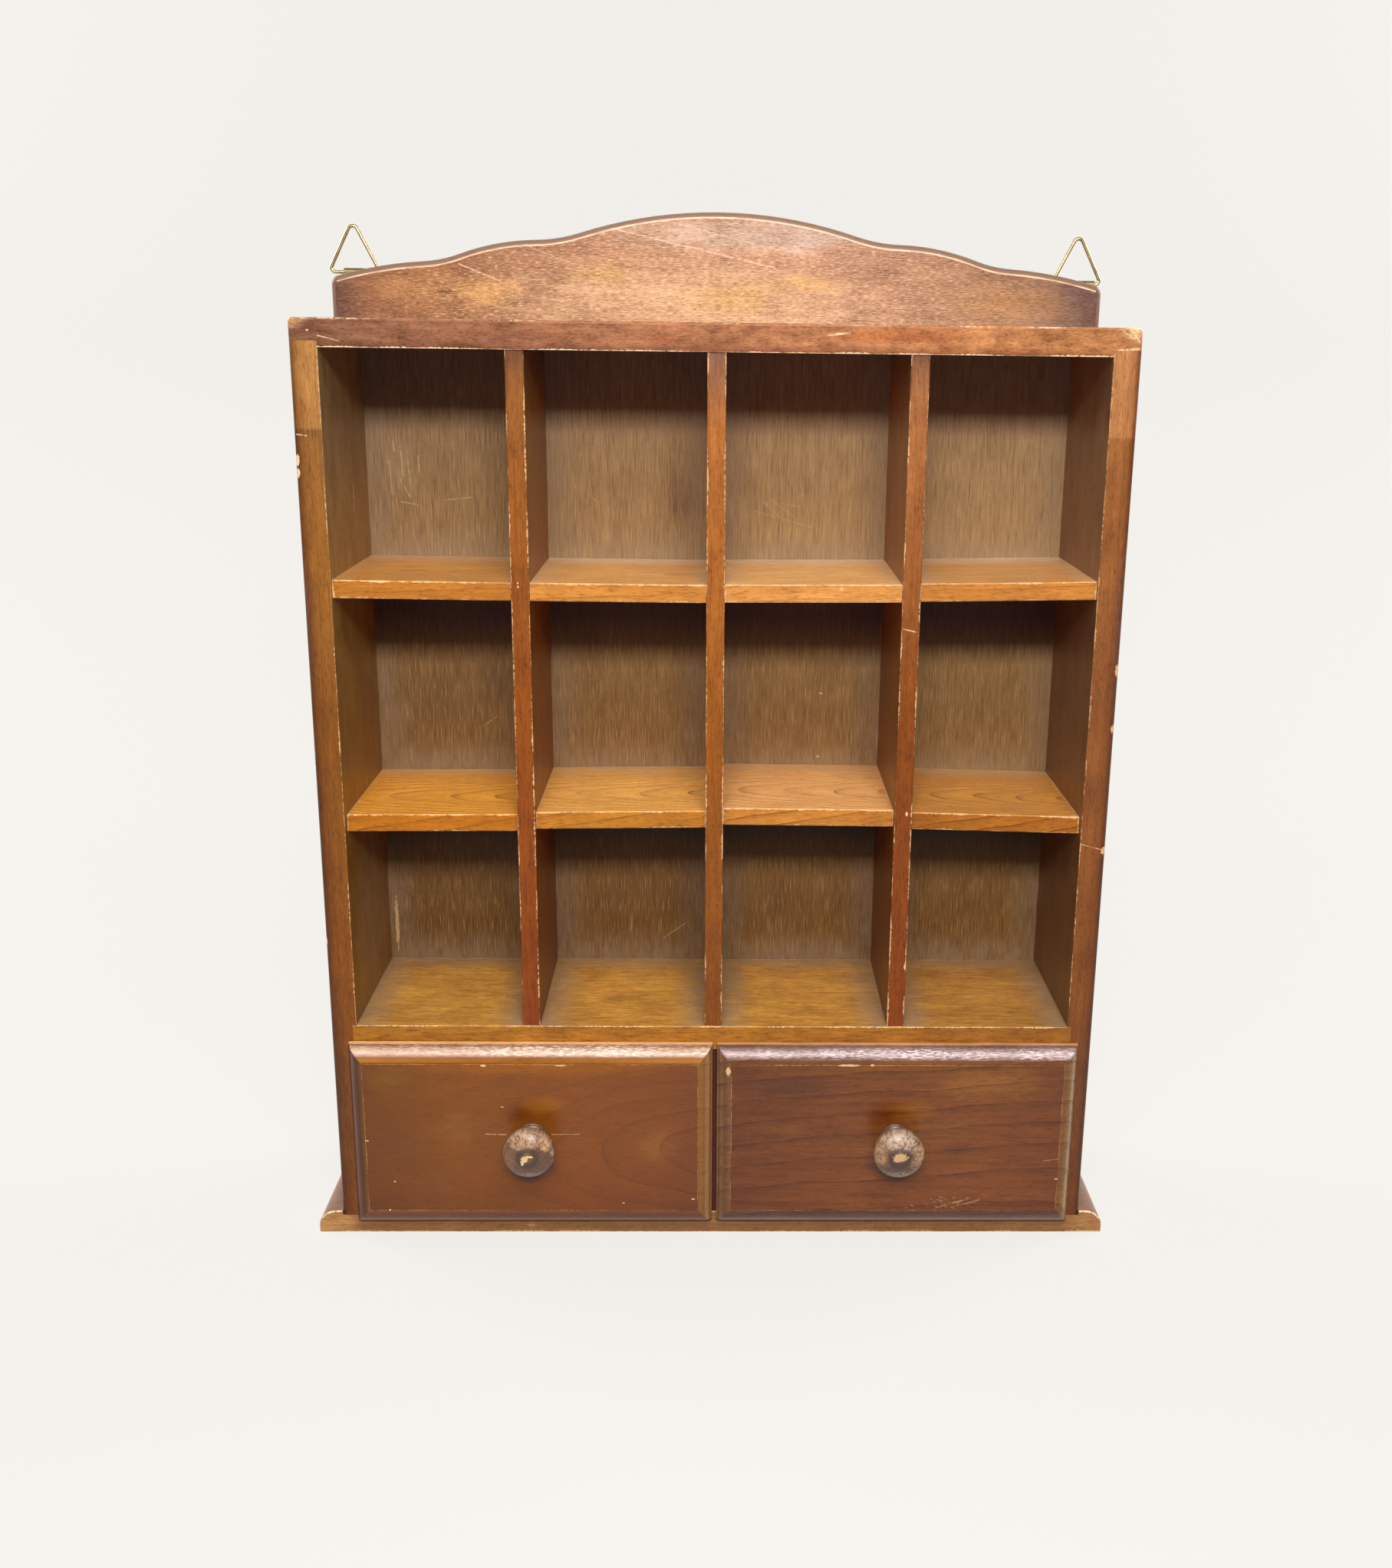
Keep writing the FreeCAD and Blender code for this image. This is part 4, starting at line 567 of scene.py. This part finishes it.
dress("drawer_right_front", stained_hardwood(
    "drawer_right_stained_alder", "drawer_right_front",
    ((0, "#703c1b"), (0.4, "#824b22"), (0.8, "#814920"), (1, "#733f1c")),
    "X", across=((0, "#f4e6e2"), (0.25, "#fffaf7"), (0.5, "#f6f2f0"), (1, "#f0ecea")), seed=4.9, mottle=0.7,
    ring=8.0, pith=(0.03, 0.045), lean=1.2, slope=5.0, rings=0.45, fibre=0.3, gloss=0.34, coat=0.3,
    streak=(2.0, 14.0, 1.3), ridges=0.2, box=((0.0070, -0.04465, 0.0135), (0.1386, 1.0, 0.0775)), wear=0.28,
    bare="#bd8a58", nick="#e6c49c",
    # As on the left drawer, the upper run holds a painted highlight band and a lit lip edge, the lower run painted
    # shade, and the last colour is the painted glitter.
    mould=((7.0, 138.6, 13.5, 77.5), (5.6, 6.7),
           (((0, "#8f5c34"), (0.2, "#75502f"), (0.5, "#6b4428"), (0.75, "#9b7254"), (0.9, "#aa805e"), (1, "#5a3018")),
            ((0, "#8a5c34"), (0.2, "#7d5227"), (0.5, "#8e693e"), (0.75, "#b49972"), (0.9, "#9b855e"), (1, "#6b4a38")),
            ((0, "#6b4430"), (0.25, "#5f4036"), (0.5, "#775a54"), (0.68, "#a58a86"), (0.85, "#5c3e32"), (1, "#38251c")),
            ((0, "#7f4c26"), (0.2, "#84522a"), (0.34, "#946a60"), (0.6, "#b49ca2"), (0.85, "#947470"), (0.92, "#74564a"),
             (1, "#e8b080"))), "#f4e8f4", (0.24, 0.46, 0.94, 0.74)),
    spots=(((5.9, -43.5, 74.4), (0.9, 2, 2.1)), ((138.1, -44.6, 27.8), (0.8, 1, 0.3)),
           ((53.0, -44.6, 77.3), (5.0, 1, 0.35)), ((62.5, -44.6, 77.4), (0.8, 1, 0.4))),
    scuffs=(((95, -44.6, 17.0), (15, 6, 4.0), -17), ((80, -44.6, 15.6), (4, 6, 2.0), -17)),
    lines=(((90, -44.6, 14.8), (103, -44.6, 19.0), 0.25, 0.6), ((96, -44.6, 15.0), (108, -44.6, 18.6), 0.25, 0.6),
           ((132.5, -44.6, 36), (138.5, -44.6, 36.6), 0.3, 0.4)),
    shade=(("#6e3408", 0.75, (67.5, -44.6, 56.0), (10, 5, 7)), ("#985c18", 0.7, (79, -44.6, 58.0), (13, 5, 7)),
           ("#7d4c10", 0.65, (72, -44.6, 75.5), (72, 5, 4)), ("#9a642a", 0.75, (110, -44.6, 69), (30, 5, 10)),
           ("#8f5c2a", 0.5, (92, -44.6, 50), (26, 5, 6)), ("#54301f", 0.7, (32, -44.6, 68), (26, 5, 6)),
           # The first patch on this line, below the knob, is a painted shadow.
           ("#4a2f26", 0.6, (74, -44.6, 33), (14, 5, 7)), ("#462c26", 0.55, (98, -44.6, 41), (9, 5, 2.5)),
           ("#8f5a2a", 0.5, (30, -44.6, 50), (18, 5, 3)))))


def arc(centre, half, start, end, steps=8):
    """Points on an ellipse in a knob's profile, each a radius and a height in mm."""
    turns = [math.radians(start + (end - start) * i / steps) for i in range(steps + 1)]
    return [(centre[0] + half[0] * math.cos(t), centre[1] + half[1] * math.sin(t)) for t in turns]


def turned_knob(node, body, x, z, material):
    """A knob turned on a lathe: foot, neck, hollow, rim and dome, bored for its screw."""
    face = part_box(node)[1][1]
    profile = [(0, 9.1), (1.7, 9.1), (1.7, 0.0), (6.6, 0.0), (6.9, 0.3), (6.9, 0.9)]
    profile += arc((6.9, 4.4), (2.5, 3.5), 270, 180)[1:] + arc((9.1, 4.4), (4.7, 5.0), 180, 90)[1:]
    profile += arc((9.1, 10.2), (0.9, 0.8), -90, 0)[1:] + arc((0, 12.2), (10.0, 4.8), 0, 90, 20)
    shape = bmesh.new()
    row = [shape.verts.new(((x + r) * MM, face - d * MM, z * MM)) for r, d in profile]
    rim = [shape.edges.new(pair) for pair in zip(row, row[1:])]
    bmesh.ops.spin(shape, geom=row + rim, cent=(x * MM, 0, z * MM), axis=(0, 1, 0), angle=2 * math.pi,
                   steps=72, use_merge=True)
    bmesh.ops.remove_doubles(shape, verts=shape.verts, dist=0.00001)
    bmesh.ops.recalc_face_normals(shape, faces=shape.faces)
    for part in shape.faces:
        part.smooth = True
    mesh = bpy.data.meshes.new(node + "_turned")
    shape.to_mesh(mesh)
    shape.free()
    mesh.materials.append(material)
    piece = bpy.data.objects.new(node + "_turned", mesh)
    bpy.context.scene.collection.objects.link(piece)
    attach(piece, body)
    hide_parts(node)


def worn_knob(name, x, z, seed, patches, worn, ground, crown):
    """A knob turned from beech, stained and varnished. Fingers have worn its upper half to
    streaky tan and its crown to bare wood, with dark polish left in a ring between them. Its
    upper half also carries a painted sheen, and its lower edge a painted reflection of the pale floor."""
    material = blank(name)
    tree = material.node_tree
    place = add(tree, "TexCoord").outputs
    at = place["Object"]
    facing = add(tree, "SeparateXYZ", [place["Normal"]]).outputs
    flat = add(tree, "Mapping", {"Vector": at, "Location": (-x * MM, 0, -z * MM), "Scale": (1, 0, 1)})
    radius = add(tree, "VectorMath", [flat], operation="LENGTH")
    turn = add(tree, "SeparateXYZ", [flat]).outputs
    angle = add(tree, "Math", [turn[2], turn[0]], operation="ARCTAN2")
    about = add(tree, "CombineXYZ", [add(tree, "Math", [angle, 6 * MM], operation="MULTIPLY"), radius, 0.0])
    streaks = grains(tree, about, 0.45, (1.0, 2.6, 1.0), (seed, 0, seed), 4.0)
    fine = grains(tree, at, 0.6, (1.0, 1.0, 1.0), (0, seed, 0))
    broad = grains(tree, at, 3.5, (1.5, 1, 1), (seed, seed, 0), 3.0)
    tone = add(tree, "MapRange", [streaks, 0.3, 0.7, 0.0, 1.0])
    shown = add(tree, "Mix", {0: tone, 6: "#4a342a", 7: ground}, data_type="RGBA")
    for colour, strength, middle, half in worn:
        soft = add(tree, "Math", [broad, 1.1, reach(tree, at, middle, half)], operation="MULTIPLY_ADD")
        amount = add(tree, "MapRange", [soft, 1.6, 1.1, 0.0, strength], interpolation_type="SMOOTHSTEP")
        amount = add(tree, "Math", [amount, add(tree, "MapRange", [streaks, 0.40, 0.56, 0.25, 1.0])],
                     operation="MULTIPLY")
        shown = add(tree, "Mix", {0: amount, 6: shown, 7: colour}, data_type="RGBA")
    near = add(tree, "Math", [add(tree, "Math", [radius, 3.4 * MM], operation="SUBTRACT")], operation="ABSOLUTE")
    dark = add(tree, "MapRange", [near, 1.7 * MM, 0.5 * MM, 0.0, 0.75], interpolation_type="SMOOTHSTEP")
    ahead = add(tree, "MapRange", [facing[1], -0.6, -0.9, 0.0, 1.0])
    dark = add(tree, "Math", [dark, ahead], operation="MULTIPLY")
    shown = add(tree, "Mix", {0: dark, 6: shown, 7: "#3d2a20"}, data_type="RGBA")
    near = add(tree, "Math", [add(tree, "Math", [radius, 9.75 * MM], operation="SUBTRACT")], operation="ABSOLUTE")
    edge = add(tree, "MapRange", [near, 0.45 * MM, 0.05 * MM, 0.0, 0.55])
    edge = add(tree, "Math", [edge, add(tree, "MapRange", [broad, 0.35, 0.6, 0.3, 1.0])], operation="MULTIPLY")
    shown = add(tree, "Mix", {0: edge, 6: shown, 7: "#c4a98e"}, data_type="RGBA")
    raw = chips(tree, at, patches, fine)
    shown = add(tree, "Mix", {0: raw, 6: shown, 7: crown}, data_type="RGBA")
    rough = add(tree, "MapRange", [streaks, 0.3, 0.7, 0.30, 0.46])
    bump = add(tree, "Bump", {"Height": streaks, "Strength": 0.25, "Distance": 0.1 * MM})
    shader = add(tree, "BsdfPrincipled", {"Base Color": shown, "Roughness": rough, "IOR": 1.5,
                                          "Coat Weight": 0.3, "Coat Roughness": 0.28, "Normal": bump})
    add(tree, "OutputMaterial", {"Surface": shader})
    return material


turned_knob("drawer_left_knob", "drawer_left", -71.8, 45.5, worn_knob(
    "left_knob_stained_beech", -71.8, 45.5, 2.3,
    (((-73.0, -60.8, 45.0), (1.5, 2.0, 1.4)), ((-71.4, -60.9, 46.3), (2.0, 2.0, 0.6)),
     ((-73.8, -60.8, 43.8), (0.7, 2.0, 1.5))),
    # The broad pale patch above is wear with a painted sheen; the pale patch along the bottom is a painted reflection
    # of the pale floor.
    (("#cfab8a", 0.9, (-73, -58.5, 52.5), (9, 6, 6)), ("#95643e", 0.8, (-79, -57, 44), (4.5, 6, 8)),
     ("#d6b08a", 1.0, (-65.4, -57.5, 50.8), (3.8, 5, 3.8)), ("#d8b48e", 1.0, (-62.6, -56.6, 46.6), (1.2, 4, 2.0)),
     ("#d8b48e", 1.0, (-62.4, -56.6, 42.6), (0.9, 4, 1.4)), ("#9a8270", 0.9, (-72, -57, 37.4), (9, 6, 2.8))),
    "#7d563e", "#f0cf9a"))
turned_knob("drawer_right_knob", "drawer_right", 72.8, 45.5, worn_knob(
    "right_knob_stained_beech", 72.8, 45.5, 5.6,
    (((72.9, -61.0, 46.2), (3.0, 2.0, 1.7)), ((71.6, -61.0, 45.4), (1.6, 2.0, 1.3))),
    # The broad pale patch above is wear with a painted sheen; the pale patch along the bottom is a painted reflection
    # of the pale floor.
    (("#cdb2a2", 1.0, (72, -58.5, 51.4), (9, 6, 6)), ("#c0946c", 1.0, (66, -57, 46), (4.5, 6, 7)),
     ("#c49a76", 1.0, (79.5, -57, 45), (4.5, 6, 8)), ("#ac9074", 0.95, (72.5, -57, 37.6), (9, 5, 3.2))), "#6b4a36", "#d8b080"))

# Hidden drawer parts: plain sanded wood, and a plywood bottom.
for side in ("left", "right"):
    pre = "drawer_" + side
    for part, along in (("side_left", "Y"), ("side_right", "Y"), ("back", "X")):
        node = "%s_%s" % (pre, part)
        dress(node, stained_hardwood(
            node + "_sanded_poplar", node, "#bd9a6a", along, seed=len(node) + 0.3, mottle=0.6, rings=0.3,
            pith=(0.02, 0.01), gloss=0.6, coat=0.0, wear=0.2, bare="#dcc296", fibre=0.25))
    dress(pre + "_bottom", stained_hardwood(
        pre + "_bottom_birch_plywood", pre + "_bottom", "#c4a478", "X", seed=3.3, mottle=0.5, rings=0.2,
        ring=6.0, pith=(0.01, 0.03), lean=2.0, gloss=0.6, coat=0.0, wear=0, fibre=0.3))
# The partition between the drawers is made dark: painted shade for the shadow it stands in.
dress("drawer_partition", stained_hardwood(
    "drawer_partition_stained_alder", "drawer_partition", "#4a1e08", "Y", seed=3.7, ring=3.0,
    pith=(0.02, 0.02), grow=(0, 0, 0.02), wear=0.2))


def brushed_metal(name, tone, rough):
    """Thin metal, drawn or stamped, with faint scratches and tarnish."""
    material = blank(name)
    tree = material.node_tree
    at = add(tree, "TexCoord").outputs["Object"]
    marks = grains(tree, at, 0.9, (1, 1, 1), (0, 0, 0), 4.0)
    tarnish = add(tree, "MapRange", [grains(tree, at, 4, (1, 1, 1), (3, 1, 2)), 0.45, 0.75, 0.0, 0.45])
    shown = add(tree, "Mix", {0: tarnish, 6: tone, 7: "#8a7448"}, data_type="RGBA", blend_type="MULTIPLY")
    matt = add(tree, "MapRange", [marks, 0.3, 0.7, rough, rough + 0.15])
    shader = add(tree, "BsdfPrincipled", {"Base Color": shown, "Metallic": 1.0, "Roughness": matt})
    add(tree, "OutputMaterial", {"Surface": shader})
    return material


brass_wire = brushed_metal("drawn_brass_wire", "#bfb28a", 0.28)
brass_sheet = brushed_metal("stamped_brass_sheet", "#96875f", 0.4)
steel = brushed_metal("zinc_plated_steel", "#b9b9b4", 0.35)
for side in ("left", "right"):
    dress("hanger_ring_" + side, brass_wire)
    dress("hanger_plate_" + side, brass_sheet)
    dress("drawer_%s_knob_screw" % side, steel)
dress("hanger_nails", brass_sheet)


def sweep():
    """The pale floor, which curves up into the wall behind the shelf."""
    shape = bmesh.new()
    spots = [(-1.6, 0.0)] + [(0.45 + 0.35 * math.sin(math.radians(a)), 0.35 - 0.35 * math.cos(math.radians(a)))
                             for a in range(0, 91, 6)] + [(0.8, 2.2)]
    row = [shape.verts.new((-2.5, y, z)) for y, z in spots]
    edges = [shape.edges.new(pair) for pair in zip(row, row[1:])]
    grown = bmesh.ops.extrude_edge_only(shape, edges=edges)["geom"]
    bmesh.ops.translate(shape, verts=[g for g in grown if isinstance(g, bmesh.types.BMVert)], vec=(5.0, 0, 0))
    bmesh.ops.recalc_face_normals(shape, faces=shape.faces)
    for face in shape.faces:
        face.smooth = True
    mesh = bpy.data.meshes.new("floor_sweep")
    shape.to_mesh(mesh)
    shape.free()
    floor = bpy.data.objects.new("floor_sweep", mesh)
    bpy.context.scene.collection.objects.link(floor)
    material = blank("pale_paper")
    tree = material.node_tree
    dull = add(tree, "BsdfDiffuse", {"Color": "#96928e"})
    paper = add(tree, "BsdfDiffuse", {"Color": "#bbb9b6"})
    glow = add(tree, "Emission", {"Color": "#fffdfa", "Strength": 1.0})
    bright = add(tree, "MixShader", [0.78, paper, glow])
    rays = add(tree, "LightPath").outputs
    seen = nearest(tree, [rays["Is Camera Ray"], rays["Is Glossy Ray"], rays["Is Transmission Ray"]], "MAXIMUM")
    add(tree, "OutputMaterial", {"Surface": add(tree, "MixShader", [seen, dull, bright])})
    mesh.materials.append(material)


def lamp(name, place, aim, size, power, tint):
    """A soft rectangular lamp at a place, turned to a point."""
    data = bpy.data.lights.new(name, "AREA")
    data.shape = "RECTANGLE"
    data.size, data.size_y = size
    data.energy = power
    data.color = linear(tint)[:3]
    thing = bpy.data.objects.new(name, data)
    thing.location = place
    thing.rotation_euler = (Vector(aim) - Vector(place)).to_track_quat("-Z", "Y").to_euler()
    thing.visible_camera = False
    bpy.context.scene.collection.objects.link(thing)


sweep()
# The key stands where the photograph's shadows come from: 0.93 m in front, 0.70 m up.
lamp("key_over_the_front", (0.03, -0.968, 0.70), (0, 0, 0.20), (0.45, 0.12), 8.3, "#fff3e6")
lamp("overhead", (0.0, -0.85, 1.25), (0, 0, 0.2), (1.0, 0.5), 10.5, "#fffaf2")
# Two lamps behind light the outer sides and the back, and don't reach the front.
lamp("rear_left", (-1.05, 0.48, 0.80), (0, 0.03, 0.2), (0.7, 0.7), 11.0, "#fffaf2")
lamp("rear_right", (1.05, 0.48, 0.80), (0, 0.03, 0.2), (0.7, 0.7), 11.0, "#fffaf2")
world = bpy.data.worlds.new("room")
bpy.context.scene.world = world
world.use_nodes = True
world.node_tree.nodes.clear()
sky = add(world.node_tree, "Background", {"Color": "#f4f2ee", "Strength": 0.03})
add(world.node_tree, "OutputWorld", {"Surface": sky})

# Camera: solved from the photograph's board edges.
PHOTO = (1815, 2044)
focal_px, centre_px = 2132.07, (984.88, 1045.47)
pitch, yaw, roll = (math.radians(a) for a in (15.872, 1.414, -0.743))
ahead = Vector((math.sin(yaw) * math.cos(pitch), math.cos(yaw) * math.cos(pitch), -math.sin(pitch)))
right = Vector((math.cos(yaw), -math.sin(yaw), 0))
down = ahead.cross(right)
image_right = right * math.cos(roll) + down * math.sin(roll)
image_down = down * math.cos(roll) - right * math.sin(roll)
camera = bpy.data.cameras.new("camera")
camera.sensor_fit = "HORIZONTAL"
camera.sensor_width = 36.0
camera.lens = 36.0 * focal_px / PHOTO[0]
camera.shift_x = 0.5 - centre_px[0] / PHOTO[0]
camera.shift_y = (centre_px[1] - PHOTO[1] / 2) / PHOTO[0]
camera.clip_start = 0.01
view = bpy.data.objects.new("camera", camera)
turn = Matrix((image_right, -image_down, -ahead)).transposed().to_4x4()
view.matrix_world = Matrix.Translation((0.00053, -0.63358, 0.35228)) @ turn
bpy.context.scene.collection.objects.link(view)
bpy.context.scene.camera = view
bpy.context.scene.view_settings.view_transform = "Standard"
